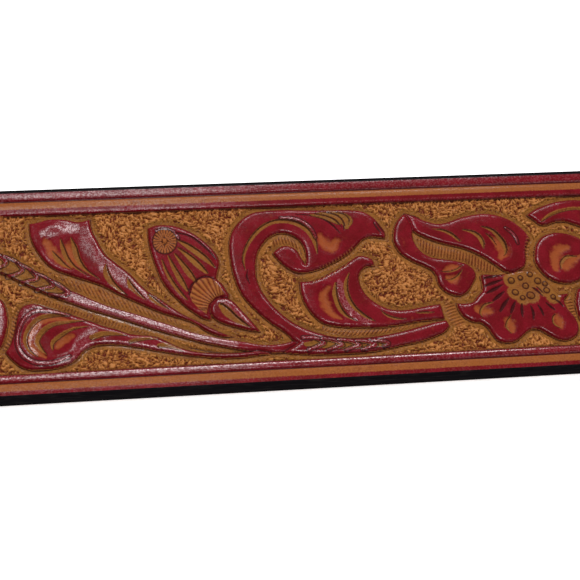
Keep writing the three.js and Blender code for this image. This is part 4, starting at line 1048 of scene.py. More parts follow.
@dataclass(frozen=True)
class TooledFinish:
    """Tooled leather: red stain on what stands up, bare russet in the cuts and black at the edges."""

    name: str = "tooled red leather"
    red: Colour = (0.152, 0.006, 0.0115, 1)
    deep_red: Colour = (0.108, 0.0045, 0.007, 1)
    russet: Colour = (0.25, 0.076, 0.02, 1)
    tan: Colour = (0.3, 0.1, 0.029, 1)
    # A bright tan for the matting's ridge tops: a painted highlight.
    ridge: Colour = (0.43, 0.17, 0.052, 1)
    earth: Colour = (0.27, 0.095, 0.023, 1)
    olive: Colour = (0.205, 0.088, 0.018, 1)
    furrow: Colour = (0.085, 0.008, 0.008, 1)
    orange: Colour = (0.29, 0.078, 0.021, 1)
    pink: Colour = (0.36, 0.11, 0.12, 1)
    dark: Colour = (0.03, 0.006, 0.006, 1)
    black: Colour = (0.009, 0.008, 0.009, 1)
    roughness: float = 0.5
    coat_roughness: float = 0.14
    specular: float = 0.012
    grain: float = 0.11

    def material(self) -> Material:
        """Mixes the colours by the mesh's own values, with soft noise along each paint line.

        Returns:
            The material.
        """
        shader = Shader(self.name)
        place = shader.place()
        cloud = shader.noise(place, 0.35, 3)
        fine = shader.noise(place, 3.2, 3)
        ragged = fine - 0.5
        stained = shader.rise(shader.field("stain") + ragged * 0.22, -0.07, 0.09)
        bare = shader.blend(shader.rise(cloud, 0.35, 0.65), self.russet, self.tan)
        # The ground beside the forms goes to a darker olive: the beveled leather's tone, deepened as painted shade
        # next to the forms.
        bevel_tone_and_shade = shader.rise(shader.field("stain") + cloud * 0.8 + ragged * 0.4, -1.2, -0.2)
        earth = shader.blend(bevel_tone_and_shade, self.earth, self.olive)
        bare = shader.blend(shader.field("ground"), bare, earth)
        furrows = shader.rise(shader.field("matting") * -1 + ragged * 0.9 + (cloud - 0.5) * 1.1, -0.3, 0.75)
        bare = shader.blend(furrows * 0.88, bare, self.furrow)
        # Painted highlight: the tops of the matting's ridges are mixed towards a bright tan.
        bare = shader.blend(shader.rise(shader.field("matting") + ragged * 0.8, 0.4, 1.1), bare, self.ridge)
        red = shader.blend(shader.rise(cloud + ragged * 0.5, 0.3, 0.7), self.deep_red, self.red)
        colour = shader.blend(stained, bare, red)
        patchy = shader.noise(place, 1.1, 3)
        rubbed = shader.rise(shader.field("glow") + (patchy - 0.5) * 1.3 + ragged * 0.4, 0.1, 1.0)
        colour = shader.blend(rubbed * 0.68, colour, self.orange)
        wave = shader.math("COSINE", shader.field("phase") * math.tau + ragged * 1.6)
        mask = shader.field("strokes")
        colour = shader.blend(mask * shader.rise(wave + ragged * 1.2, -0.2, 0.5) * 0.7, colour, self.tan)
        colour = shader.blend(mask * shader.rise(wave * -1 + ragged * 1.2, 0.4, 1.0) * 0.75, colour, self.furrow)
        speckle = shader.rise(shader.noise(place, 3.6, 4), 0.36, 0.66) * 1.3 + 0.25
        painted = shader.rise(shader.field("black") + ragged * 0.25, -0.08, 0.08)
        # This value makes the coat glossy and also sets where the pink sheen is painted into the colour.
        shine = shader.field("shine") * speckle * (1 - painted)
        # Painted sheen: where the stained leather is glossy, its colour is mixed in speckles towards pale pink, a
        # painted highlight.
        colour = shader.blend(shader.rise(shine, 0.2, 1.2) * stained * 0.4, colour, self.pink)
        creased = shader.rise(shader.field("crease") + ragged * 0.5, 0.22, 0.85)
        colour = shader.blend(creased * 0.88, colour, self.dark)
        colour = shader.blend(painted, colour, self.black)
        scratched = shader.noise(shader.place((1.3, 1.3, 1)), 1.2, 3, 1.5) * shader.field("ground")
        height = shader.pebbles(place, 2.6) * 0.5 + shader.noise(place, 5.5, 2) * 0.5
        height = height + wave * mask * 0.9 + scratched * 2.5
        normal = shader.bump(height, self.grain * MM)
        return shader.finish({
            "Base Color": colour, "Roughness": fine * 0.25 + (self.roughness - 0.12), "Normal": normal,
            "Coat Weight": shine, "Coat Roughness": self.coat_roughness, "Specular IOR Level": self.specular,
        })


@dataclass(frozen=True)
class PaintedEdge:
    """Black edge paint, with the faint waves that a brush leaves."""

    name: str = "black edge paint"
    colour: Colour = (0.006, 0.005, 0.006, 1)
    worn: Colour = (0.014, 0.012, 0.012, 1)

    def material(self) -> Material:
        """Black, a little worn.

        Returns:
            The material.
        """
        shader = Shader(self.name)
        waves = shader.noise(shader.place((0.4, 1, 2.5)), 0.8, 4)
        colour = shader.blend(shader.rise(waves, 0.45, 0.8), self.colour, self.worn)
        return shader.finish({"Base Color": colour, "Roughness": waves * 0.3 + 0.5, "Specular IOR Level": 0.0,
                              "Normal": shader.bump(waves, 0.05 * MM)})


@dataclass(frozen=True)
class FleshSide:
    """The strap's undyed back, with short loose fibres."""

    name: str = "flesh side"
    pale: Colour = (0.30, 0.17, 0.09, 1)
    brown: Colour = (0.17, 0.085, 0.04, 1)

    def material(self) -> Material:
        """Mottled brown, napped.

        Returns:
            The material.
        """
        shader = Shader(self.name)
        fibres = shader.noise(shader.place((0.5, 1.4, 1)), 2.2, 5, 1.2)
        clouds = shader.noise(shader.place(), 0.12, 3)
        mix = shader.rise(fibres * 0.6 + clouds * 0.4, 0.35, 0.65)
        colour = shader.blend(mix, self.brown, self.pale)
        return shader.finish({"Base Color": colour, "Roughness": fibres * 0.1 + 0.85,
                              "Normal": shader.bump(fibres, 0.12 * MM)})


@dataclass(frozen=True)
class PlainFinish:
    """The keeper's smooth red leather, with a creased line beside each edge."""

    name: str = "plain red leather"
    red: Colour = (0.15, 0.011, 0.017, 1)
    deep_red: Colour = (0.08, 0.006, 0.009, 1)
    black: Colour = (0.011, 0.010, 0.011, 1)

    def material(self) -> Material:
        """Red with fine grain, darker in the creases and black at the edges.

        Returns:
            The material.
        """
        shader = Shader(self.name)
        place = shader.place()
        fine = shader.noise(place, 3, 3)
        colour = shader.blend(shader.rise(shader.noise(place, 0.3, 3), 0.3, 0.7), self.deep_red, self.red)
        colour = shader.blend(shader.rise(shader.field("crease"), 0.3, 0.9), colour, self.black)
        colour = shader.blend(shader.rise(shader.field("black") + fine * 0.2, 0.0, 0.2), colour, self.black)
        height = shader.pebbles(place, 2.6) * 0.5 + fine * 0.5
        return shader.finish({
            "Base Color": colour, "Roughness": fine * 0.25 + 0.32, "Normal": shader.bump(height, 0.03 * MM),
            "Specular IOR Level": 0.15, "Coat Weight": 0.2, "Coat Roughness": 0.2,
        })


@dataclass(frozen=True)
class Nickel:
    """Satin nickel, faintly scratched."""

    name: str = "satin nickel"
    bright: Colour = (0.60, 0.58, 0.54, 1)
    dull: Colour = (0.42, 0.40, 0.37, 1)

    def material(self) -> Material:
        """Metal with soft mottling and fine scratches along its length.

        Returns:
            The material.
        """
        shader = Shader(self.name)
        clouds = shader.noise(shader.place(), 0.5, 4)
        scratches = shader.noise(shader.place((0.25, 3, 3)), 2.5, 3)
        colour = shader.blend(shader.rise(clouds, 0.35, 0.75), self.bright, self.dull)
        rough = clouds * 0.12 + scratches * 0.14 + 0.14
        return shader.finish({"Base Color": colour, "Metallic": 1.0, "Roughness": rough,
                              "Normal": shader.bump(scratches, 0.006 * MM)})


@dataclass(frozen=True)
class StudioFloor:
    """The pale table the belt lies on."""

    name: str = "pale table"
    white: Colour = (0.95, 0.95, 0.955, 1)
    shade: Colour = (0.93, 0.93, 0.935, 1)
    lit_from_below: float = 0.6

    def material(self) -> Material:
        """Nearly even white.

        Returns:
            The material.
        """
        shader = Shader(self.name)
        clouds = shader.noise(shader.place(), 0.01, 2)
        return shader.finish({
            "Base Color": shader.blend(clouds, self.white, self.shade), "Roughness": 0.9,
            "Specular IOR Level": 0.1, "Emission Color": self.white, "Emission Strength": self.lit_from_below,
        })


def make_piece(name: str, points: Array, faces: list[tuple[Array, int]],
               materials: list[Material], fields: dict[str, Array] | None = None,
               smooth_below: float = 180.0) -> Object:
    """Puts arrays into a new object that moves with the belt.

    Args:
        name: the piece's name.
        points: one row for each vertex, in millimetres.
        faces: arrays of vertex numbers, one row for each face, each with its material's number.
        materials: the piece's materials.
        fields: values for each vertex, by attribute name.
        smooth_below: the angle, in degrees, past which an edge is shaded sharp.
    Returns:
        The object.
    """
    mesh = bpy.data.meshes.new(name)
    corners = np.concatenate([rows.ravel() for rows, _ in faces])
    sizes = np.concatenate([np.full(len(rows), rows.shape[1]) for rows, _ in faces])
    slots = np.concatenate([np.full(len(rows), slot) for rows, slot in faces])
    mesh.vertices.add(len(points))
    mesh.vertices.foreach_set("co", (points * MM).astype(np.float32).ravel())
    mesh.loops.add(len(corners))
    mesh.loops.foreach_set("vertex_index", corners.astype(np.int32))
    mesh.polygons.add(len(sizes))
    mesh.polygons.foreach_set("loop_start", np.concatenate([[0], np.cumsum(sizes)[:-1]]).astype(np.int32))
    mesh.polygons.foreach_set("material_index", slots.astype(np.int32))
    mesh.polygons.foreach_set("use_smooth", sizes <= 4)
    mesh.update(calc_edges=True)
    mesh.validate()
    for key, values in (fields or {}).items():
        mesh.attributes.new(key, "FLOAT", "POINT").data.foreach_set("value", values.astype(np.float32))
    if smooth_below < 180:
        mesh.set_sharp_from_angle(angle=math.radians(smooth_below))
    for material in materials:
        mesh.materials.append(material)
    made = bpy.data.objects.new(name, mesh)
    bpy.context.scene.collection.objects.link(made)
    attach(made, "root")
    LOG.info("%s: %d vertices, %d faces", name, len(points), len(sizes))
    return made


def tube_faces(stations: int, around: int) -> Array:
    """The quads between closed rings of points, facing out where a ring runs right-handed about the way along.

    Args:
        stations: how many rings there are.
        around: how many points each has.
    Returns:
        One row of four vertex numbers for each quad, ring by ring.
    """
    ring, spot = np.meshgrid(np.arange(stations - 1), np.arange(around), indexing="ij")
    here, there = ring * around, (ring + 1) * around
    after = (spot + 1) % around
    return np.stack([here + spot, here + after, there + after, there + spot], -1).reshape(-1, 4)


def tube(name: str, rings: Array, material: Material, fields: dict[str, Array] | None = None,
         closed: bool = False, smooth_below: float = 180.0) -> Object:
    """A closed surface through rings of points, shaped (rings, points, 3).

    It ends in a flat face at each end, or joins its last ring to its first where closed is set.

    Args:
        name: the piece's name.
        rings: the points.
        material: its only material.
        fields: values for each vertex, by attribute name.
        closed: whether the tube comes back to its start.
        smooth_below: the angle, in degrees, past which an edge is shaded sharp.
    Returns:
        The object.
    """
    stations, around = rings.shape[:2]
    if closed:
        rings = np.concatenate([rings, rings[:1]])
        faces = tube_faces(stations + 1, around) % (stations * around)
        return make_piece(name, rings[:-1].reshape(-1, 3), [(faces, 0)], [material], fields, smooth_below)
    last = (stations - 1) * around + np.arange(around)
    ends = np.stack([np.arange(around)[::-1], last])
    faces = [(tube_faces(stations, around), 0), (ends, 0)]
    return make_piece(name, rings.reshape(-1, 3), faces, [material], fields, smooth_below)


def rounded(width: float, height: float, count: int, power: float) -> Array:
    """A rounded rectangle's outline: a circle's cosine and sine, each raised to the power and scaled.

    Args:
        width, height: its size.
        count: how many points it has.
        power: 1 for an ellipse, and squarer towards 0.
    Returns:
        One row for each point.
    """
    turn = (np.arange(count) + 0.5) / count * 2 * np.pi
    cosine, sine = np.cos(turn), np.sin(turn)
    return np.stack([width / 2 * np.sign(cosine) * np.abs(cosine) ** power,
                     height / 2 * np.sign(sine) * np.abs(sine) ** power], -1)


@dataclass
class Course:
    """The way that the strap takes: along its flap, round the bar, back over the flap and down to the table.

    A place along it is measured from the bar over the upper layer, and is less than 0 round the fold
    and on the flap. Everything is in millimetres.
    """

    bar_x: float
    flap_top: float = 3.7
    fold_radius: float = 2.5
    flap_thickness: float = 2.4
    thickness: float = 4.0
    skive: float = 14.0
    flap_length: float = 76.0
    length: float = 1080.0
    half_width: float = 19.0
    tip_length: float = 27.0
    blunt_half: float = 3.5
    step: float = 0.3
    stations: tuple[Triple, ...] = (
        (0.0, 3.0, 5.0), (14.5, 25.5, 3.7), (34.8, 49.2, 2.4), (59.0, 76.3, 0.3), (112.0, 1080.0, -3.7))

    @property
    def bar_height(self) -> float:
        """The bar's axis over the table."""
        return self.flap_top + self.fold_radius

    @property
    def fold_length(self) -> float:
        """The way round the fold, over its outer side."""
        return math.pi * (self.fold_radius + self.flap_thickness)

    def thickness_at(self, along: Array) -> Array:
        """The skived end thickens with an eased slope."""
        share = np.clip(along / self.skive, 0, 1)
        return self.flap_thickness + (self.thickness - self.flap_thickness) * (1 - np.cos(np.pi * share)) / 2

    def flesh_height(self, along: Array) -> Array:
        """The upper layer's underside over the table: level at each station, with an eased slope between.

        Args:
            along: places along the course.
        Returns:
            The heights there.
        """
        height = np.full_like(along, self.stations[0][2])
        for (_, start, low), (end, _, high) in zip(self.stations, self.stations[1:]):
            share = np.clip((along - start) / (end - start), 0, 1)
            height += (high - low) * (1 - np.cos(np.pi * share)) / 2
        return self.flap_top + height

    def half_width_at(self, along: Array) -> Array:
        """The strap's half-width, which falls along a quarter of a rounded curve to the blunt tip."""
        share = np.clip((along - self.length + self.tip_length) / self.tip_length, 0, 1)
        return self.blunt_half + (self.half_width - self.blunt_half) * np.sqrt(1 - share**2.4)

    def lay(self, along: Array, across: Array, above: Array) -> Array:
        """Points on the strap in space.

        Args:
            along: the place along the course.
            across: how far across the strap.
            above: how far out from the flesh side.
        Returns:
            One row for each point.
        """
        slope = (self.flesh_height(along + self.step) - self.flesh_height(along - self.step)) / (2 * self.step)
        size = np.hypot(slope, 1)
        turn = np.pi * (np.clip(along / self.fold_length, -1, 0) + 0.5)
        folded, flap = along < 0, along < -self.fold_length
        out_x = np.where(folded, -np.cos(turn), -slope / size)
        out_z = np.where(folded, np.sin(turn), 1 / size)
        x = np.where(folded, out_x * self.fold_radius, along)
        x = np.where(flap, -along - self.fold_length, x)
        z = np.where(folded, self.bar_height + out_z * self.fold_radius, self.flesh_height(along))
        return np.stack([self.bar_x + x + out_x * above, across, z + out_z * above], -1)


@dataclass(frozen=True)
class Opening:
    """A round-ended hole through the strap: its ends' centres along the course, and its half-width."""

    start: float
    end: float
    half: float
    room: float = 1.6
    rings: int = 5

    def within(self, along: Array, across: Array) -> Array:
        """How far outside the opening's rim each point is."""
        return np.hypot(along - np.clip(along, self.start, self.end), across) - self.half


@dataclass
class Slab:
    """A stretch of leather with openings: a face, a back and the walls between them.

    The two sheets share one flat net of quads. Round an opening the net's cells give way to rings that
    pass evenly from the square edge left in it to the opening's rim.
    """

    along: Array
    across: Array
    openings: tuple[Opening, ...]
    points: Array = field(init=False)
    quads: Array = field(init=False)

    def __post_init__(self) -> None:
        """Builds the flat net."""
        rows = len(self.across)
        a, c = np.meshgrid(self.along, self.across, indexing="ij")
        points = np.stack([a.ravel(), c.ravel()], -1)
        i, j = np.meshgrid(np.arange(len(self.along) - 1), np.arange(rows - 1), indexing="ij")
        kept = np.ones(i.shape, bool)
        first = i * rows + j
        pieces = []
        for hole in self.openings:
            reach = hole.half + hole.room
            i0, i1 = np.searchsorted(self.along, (hole.start - hole.half - hole.room, hole.end + reach))
            j0, j1 = np.searchsorted(self.across, (-hole.half - hole.room, reach))
            kept[i0:i1, j0:j1] = False
            near, far = np.arange(i0, i1) * rows + j0, np.arange(i1, i0, -1) * rows + j1
            right, left = i1 * rows + np.arange(j0, j1), i0 * rows + np.arange(j1, j0, -1)
            loop = np.concatenate([near, right, far, left])
            outer = points[loop]
            spine = np.stack([np.clip(outer[:, 0], hole.start, hole.end), np.zeros(len(loop))], -1)
            away = outer - spine
            rim = spine + away / np.hypot(away[:, :1], away[:, 1:]) * hole.half
            share = (1 - (1 - np.arange(1, hole.rings + 1) / hole.rings) ** 1.6)[:, None, None]
            added = outer + (rim - outer) * share
            numbers = np.concatenate([loop[None], len(points) + np.arange(added.size // 2).reshape(hole.rings, -1)])
            points = np.concatenate([points, added.reshape(-1, 2)])
            after = np.roll(numbers, -1, 1)
            pieces.append(np.stack([numbers[:-1], after[:-1], after[1:], numbers[1:]], -1).reshape(-1, 4))
        base = first[kept]
        pieces.append(np.stack([base, base + rows, base + rows + 1, base + 1], -1))
        quads = np.concatenate(pieces)
        used, self.quads = np.unique(quads, return_inverse=True)
        self.quads = self.quads.reshape(-1, 4)
        self.points = points[used]

    def walls(self) -> Array:
        """The net's edges that only one quad has, each joined to the same edge of the back.

        Returns:
            One row of four vertex numbers for each quad.
        """
        count = len(self.points)
        start, end = self.quads.ravel(), np.roll(self.quads, -1, 1).ravel()
        alone = ~np.isin(start * count + end, end * count + start)
        start, end = start[alone], end[alone]
        return np.stack([end, start, start + count, end + count], -1)


def across_rows(half: float, middle_step: float) -> Array:
    """Rows across the strap from its near edge to its far one, close together over the borders.

    Args:
        half: the strap's half-width.
        middle_step: about how far apart the rows are between the borders.
    Returns:
        The rows.
    """
    border = 5.3
    edge = np.concatenate([np.array([0, 0.05, 0.13, 0.24, 0.38, 0.55]), np.linspace(0.7, border, 32)])
    middle = np.linspace(-half + border, half - border, int(2 * (half - border) / middle_step) + 1)
    return np.concatenate([edge - half, middle[1:-1], (half - edge)[::-1]])


@dataclass
class Strap:
    """The strap: its folded end, the tooled stretches and the tip with its holes. Millimetres throughout."""

    course: Course
    tooling: Tooling
    tooling_start: float = 113.0
    repeats: int = 7
    shown_repeat: int = 3
    first_u: float = -48.0
    fade: float = 1.5
    fine: tuple[int, int] = (700, 235)
    coarse: tuple[int, int] = (240, 116)
    plain_step: float = 1.0
    row_step: float = 0.95
    tip_stations: int = 158
    hole_radius: float = 2.5
    holes: tuple[float, ...] = (910.0, 935.0, 960.0, 985.0, 1010.0)
    slot_half: float = 3.5
    slot_reach: float = 10.0
    top_row: float = 18.5
    back_bevel: float = 0.4
    back_rows: Point = (-6.0, 6.0)
    bevel_steps: int = 5
    hole_bevel: Point = (0.35, 0.25)
    end_hair: float = 0.004
    beyond: float = 60.0

    def __post_init__(self) -> None:
        """Makes the strap's three finishes once, for all its pieces."""
        self.materials = [TooledFinish().material(),
                          PaintedEdge().material(), FleshSide().material()]

    def dress(self, piece: Object, node: str) -> Object:
        """Hides the solid that a piece stands for.

        Args:
            piece, node: the piece and the solid's name.
        Returns:
            The piece.
        """
        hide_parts(node)
        return piece

    def ring(self) -> tuple[Array, Array]:
        """The rest of a section, after the face's rows from the far edge to the near one.

        Returns:
            Where the edges and the back lie across and up: a quarter-round bevel, a wall and a flat back.
        """
        half, bevel = self.course.half_width, self.back_bevel
        turn = np.linspace(0, np.pi / 2, self.bevel_steps + 1)[1:]
        edge_across = self.top_row + (half - self.top_row) * np.sin(turn)
        edge_up = self.course.thickness - Border.bevel_drop * (1 - np.cos(turn))
        back = [-half, -half + bevel, *self.back_rows, half - bevel, half]
        across = np.concatenate([-edge_across, back, edge_across[::-1]])
        up = np.concatenate([edge_up, [bevel, 0, 0, 0, 0, bevel], edge_up[::-1]])
        return across, up

    def block(self, name: str, along: Array, rows: Array, relief: Relief) -> Object:
        """One tooled stretch: a closed ring of points across the strap at each place along it.

        A second ring a hair's breadth from each end keeps the face's shading even up to the joint.

        Args:
            name: the piece's name.
            along: the places along the strap.
            rows: the rows across the face, from the far edge to the near one.
            relief: the relief at every place and row, in that order.
        Returns:
            The piece.
        """
        hair = self.end_hair
        along = np.concatenate([along[:1], along[:1] + hair, along[1:-1], along[-1:] - hair, along[-1:]])
        same = np.concatenate([[0], np.arange(len(along) - 2), [len(along) - 3]])
        relief = relief.each(lambda values: values.reshape(-1, len(rows))[same].ravel())
        count = len(along)
        rest_across, rest_up = self.ring()
        across = np.broadcast_to(np.concatenate([rows, rest_across]), (count, len(rows) + len(rest_across)))
        up = np.concatenate([relief.height.reshape(count, -1) + self.course.thickness,
                             np.broadcast_to(rest_up, (count, len(rest_up)))], 1)
        x = np.broadcast_to(along[:, None] + self.course.bar_x, up.shape)
        points = np.stack([x, across, up], -1).reshape(-1, 3)
        around = up.shape[1]
        faces = tube_faces(count, around)
        slot = np.zeros(around, int)
        slot[len(rows) - 1:] = 1
        back_start = len(rows) + self.bevel_steps
        slot[back_start:back_start + 5] = 2
        slots = np.tile(slot, count - 1)
        ends = np.stack([np.arange(around)[::-1], (count - 1) * around + np.arange(around)])
        fields = {}
        for key, values in relief.fields().items():
            rest = np.full((count, len(rest_across)), 1.0 if key == "black" else 0.0)
            fields[key] = np.concatenate([values.reshape(count, -1), rest], 1).ravel()
        groups = [(faces[slots == number], number) for number in range(3)] + [(ends, 1)]
        return make_piece(name, points, groups, self.materials, fields)

    def faded(self, relief: Relief, along: Array, v: Array) -> Relief:
        """The relief of an end stretch, which eases out of the plain strap where the tooling starts or stops.

        Args:
            relief: the tooled relief.
            along, v: where its points are along the strap and across it.
        Returns:
            The eased relief.
        """
        end = self.tooling_start + self.repeats * self.tooling.repeat
        share = eased(np.minimum(along - self.tooling_start, end - along) / self.fade)
        plain = border_relief(self.course.half_width - np.abs(v), v, np.zeros_like(v))
        return plain.towards(relief, share)

    def tooled_stretch(self, repeats: list[int], size: tuple[int, int], parts: int) -> None:
        """Works one grid of the tooled face and lays it down for each of the repeats.

        Args:
            repeats: which repeats, counted from the buckle.
            size: how many steps the grid has along the strap, and how many rows across it.
            parts: how many pieces each repeat is laid down in.
        """
        columns, row_count = size
        rows = np.linspace(self.top_row, -self.top_row, row_count)
        steps = np.linspace(0, self.tooling.repeat, columns + 1)
        grid_u, grid_v = (part.ravel() for part in np.meshgrid(self.first_u + steps, rows, indexing="ij"))
        relief = self.tooling.relief(grid_u, grid_v)
        cuts = np.linspace(0, columns, parts + 1).astype(int)
        for repeat in repeats:
            start = self.tooling_start + repeat * self.tooling.repeat
            at_end = repeat in (0, self.repeats - 1)
            laid = self.faded(relief, start + (grid_u - self.first_u), grid_v) if at_end else relief
            for part, (low, high) in enumerate(zip(cuts, cuts[1:])):
                span = slice(low * row_count, (high + 1) * row_count)
                name = f"tooled_stretch_{repeat + 1}" + "_ab"[part + 1] * (parts > 1)
                piece = laid.each(lambda values: values[span])
                self.dress(self.block(name, start + steps[low:high + 1], rows, piece), "strap")

    def inset(self, place: Array, across: Array) -> Array:
        """How far in from the strap's side or the tip's outline each point is.

        Args:
            place, across: where the points are along the course and across it.
        Returns:
            The distances.
        """
        course, half = self.course, self.course.half_width
        tip = np.linspace(0, np.pi / 2, 40)
        outline_along = course.length - course.tip_length * (1 - np.sin(tip))
        side = np.stack([outline_along, course.half_width_at(outline_along)], -1)
        low = place.min() - self.beyond
        outline = np.concatenate([[[low, -half]], side * (1, -1), side[::-1], [[low, half]]])
        near_tip = np.maximum(inside_by(outline, place, across), 0)
        return np.where(place > course.length - self.beyond, near_tip, half - np.abs(across))

    def slab(self, name: str, along: Array, openings: tuple[Opening, ...], node: str) -> Object:
        """A plain stretch with openings, bordered like the rest, laid along the course.

        Args:
            name: the piece's name.
            along: the places along the course.
            openings: the holes through it.
            node: the solid that it stands for.
        Returns:
            The piece.
        """
        net = Slab(along, across_rows(self.course.half_width, self.row_step), openings)
        place, row = net.points[:, 0], net.points[:, 1]
        across = row * self.course.half_width_at(place) / self.course.half_width
        inset = self.inset(place, across)
        relief = border_relief(inset, across, np.zeros_like(inset))
        for opening in openings:
            gap = opening.within(place, row)
            past = np.clip(1 - gap / self.hole_bevel[0], 0, 1)
            relief.height -= self.hole_bevel[1] * rounding(past)
            relief.black = np.maximum(relief.black, 0.2 - gap)
        thickness = self.course.thickness_at(place)
        lift = self.back_bevel * rounding(np.clip(1 - inset / self.back_bevel, 0, 1))
        face = self.course.lay(place, across, thickness + relief.height)
        back = self.course.lay(place, across, lift)
        count = len(net.points)
        groups = [(net.quads, 0), (net.walls(), 1), (net.quads[:, ::-1] + count, 2)]
        fields = {key: np.concatenate([values, values]) for key, values in relief.fields().items()}
        piece = make_piece(name, np.concatenate([face, back]), groups, self.materials, fields, 50)
        return self.dress(piece, node)

    def build(self) -> None:
        """Builds the folded end with its slot, the tooled stretches, and the tip with its holes."""
        course, fold = self.course, self.course.fold_length
        flap = np.arange(-fold - course.flap_length, -fold, self.plain_step)
        around = np.linspace(-fold, 0, 40)[:-1]
        upper = np.linspace(0, self.tooling_start, int(self.tooling_start / self.plain_step))
        slot = Opening(-fold - self.slot_reach + self.slot_half, self.slot_reach - self.slot_half, self.slot_half)
        self.slab("strap_folded_end", np.concatenate([flap, around, upper]), (slot,), "strap_end")
        others = [n for n in range(self.repeats) if n != self.shown_repeat]
        self.tooled_stretch([self.shown_repeat], self.fine, 2)
        self.tooled_stretch(others, self.coarse, 1)
        start = self.tooling_start + self.repeats * self.tooling.repeat
        straight = np.linspace(start, course.length - course.tip_length, self.tip_stations)
        turn = np.linspace(0, np.pi / 2, 44)[1:]
        nose = course.length - course.tip_length * (1 - np.sin(turn))
        holes = tuple(Opening(place, place, self.hole_radius) for place in self.holes)
        self.slab("strap_tip", np.concatenate([straight, nose]), holes, "strap")


@dataclass
class Keeper:
    """The fixed loop that holds the belt's tail. Millimetres."""

    course: Course
    from_bar: float = 42.0
    width: float = 12.0
    thickness: float = 1.8
    room: float = 5.0
    side_room: float = 0.6
    corner: float = 1.0
    gap: float = 0.3
    crease_from_edge: float = 1.5
    crease_depth: float = 0.3
    paint: float = 0.45

    def way_round(self) -> tuple[Array, Array]:
        """The loop's inner side: a rectangle with quarter-circle corners.

        Returns:
            Places across and up, and the way out at each.
        """
        flesh = float(self.course.flesh_height(np.array([self.from_bar]))[0])
        half = self.course.half_width + self.side_room
        low, high = flesh - self.gap, flesh + self.course.thickness + self.room
        corner = self.corner
        y = np.array([half - corner, -half + corner, -half + corner, half - corner])
        z = np.array([high - corner, high - corner, low + corner, low + corner])
        angle = np.linspace(0, np.pi / 2, 12) + np.arange(4)[:, None] * np.pi / 2
        normals = np.stack([np.cos(angle), np.sin(angle)], -1)
        places = np.stack([y, z], -1)[:, None] + corner * normals
        return places.reshape(-1, 2), normals.reshape(-1, 2)

    def evened(self, places: Array, normals: Array, spacing: float) -> tuple[Array, Array]:
        """Adds points along the straight sides of the loop.

        Args:
            places, normals: the loop's places and the way out at each.
            spacing: about how far apart to set them.
        Returns:
            More places, and the way out at each, which turns evenly from one to the next.
        """
        ends = np.roll(places, -1, 0)
        counts = np.maximum((np.hypot(*(ends - places).T) / spacing).astype(int), 1)
        index = np.repeat(np.arange(len(places)), counts)
        share = np.concatenate([np.arange(count) / count for count in counts])[:, None]
        turned = np.roll(normals, -1, 0)
        return (places[index] * (1 - share) + ends[index] * share,
                normals[index] * (1 - share) + turned[index] * share)

    def build(self) -> Object:
        """Carries the leather's section round the loop: a rounded rectangle, creased beside both edges outside.

        Returns:
            The piece.
        """
        places, normals = self.evened(*self.way_round(), 1.2)
        section = rounded(self.width, self.thickness, 96, 0.28)
        from_side = self.width / 2 - np.abs(section[:, 0])
        crease = bell(from_side - self.crease_from_edge, 0.3)
        outside = section[:, 1] > 0
        out = section[:, 1] + self.thickness / 2 - np.where(outside, self.crease_depth * crease, 0)
        shape = (len(places), len(section))
        x = np.broadcast_to(self.course.bar_x + self.from_bar - section[:, 0], shape)
        y = places[:, :1] + normals[:, :1] * out
        z = places[:, 1:] + normals[:, 1:] * out
        fields = {"crease": crease * outside, "black": self.paint - from_side}
        fields = {key: np.tile(values, len(places)) for key, values in fields.items()}
        leather = PlainFinish().material()
        piece = tube("keeper_loop", np.stack([x, y, z], -1), leather, fields, closed=True)
        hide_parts("keeper")
        return piece


@dataclass
class Post:
    """A screw post with a low domed head above and a flat one below. Millimetres."""

    course: Course
    node: str
    from_bar: float
    shaft: float = 2.0
    head: float = 5.0
    head_height: float = 1.0
    gap: float = 0.3
    sides: int = 64

    def profile(self) -> Array:
        """Up the post: the heads' rims are quarter circles, and the upper head is domed.

        Returns:
            A radius and a height in each row.
        """
        turn, rim, lip, axis = np.linspace(0, np.pi / 2, 8), 0.4, 0.35, 0.05
        place = np.array([self.from_bar])
        top = float((self.course.flesh_height(place) + self.course.thickness_at(place))[0]) + self.gap
        under = np.stack([self.head - rim + rim * np.sin(turn), rim - rim * np.cos(turn)], -1)
        dome = np.stack([self.head * np.cos(turn), top + lip + (self.head_height - lip) * np.sin(turn)], -1)
        head, height, shaft = self.head, self.head_height, self.shaft
        middle = np.array([[head, height - 0.1], [head - 0.1, height], [shaft, height],
                           [shaft, top], [head - 0.1, top], [head, top + 0.1]])
        return np.concatenate([[[axis, 0]], under, middle, dome[:-1], [[axis, top + height]]])

    def build(self, metal: Material) -> Object:
        """Turns the profile about the post's axis.

        Args:
            metal: its material.
        Returns:
            The piece.
        """
        profile = self.profile()
        turn = np.arange(self.sides) / self.sides * 2 * np.pi
        x = self.course.bar_x + self.from_bar + profile[:, :1] * np.cos(turn)
        rings = np.stack([x, profile[:, :1] * np.sin(turn), np.broadcast_to(profile[:, 1:], x.shape)], -1)
        piece = tube("screw_" + self.node, rings, metal, smooth_below=50)
        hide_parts(self.node)
        return piece


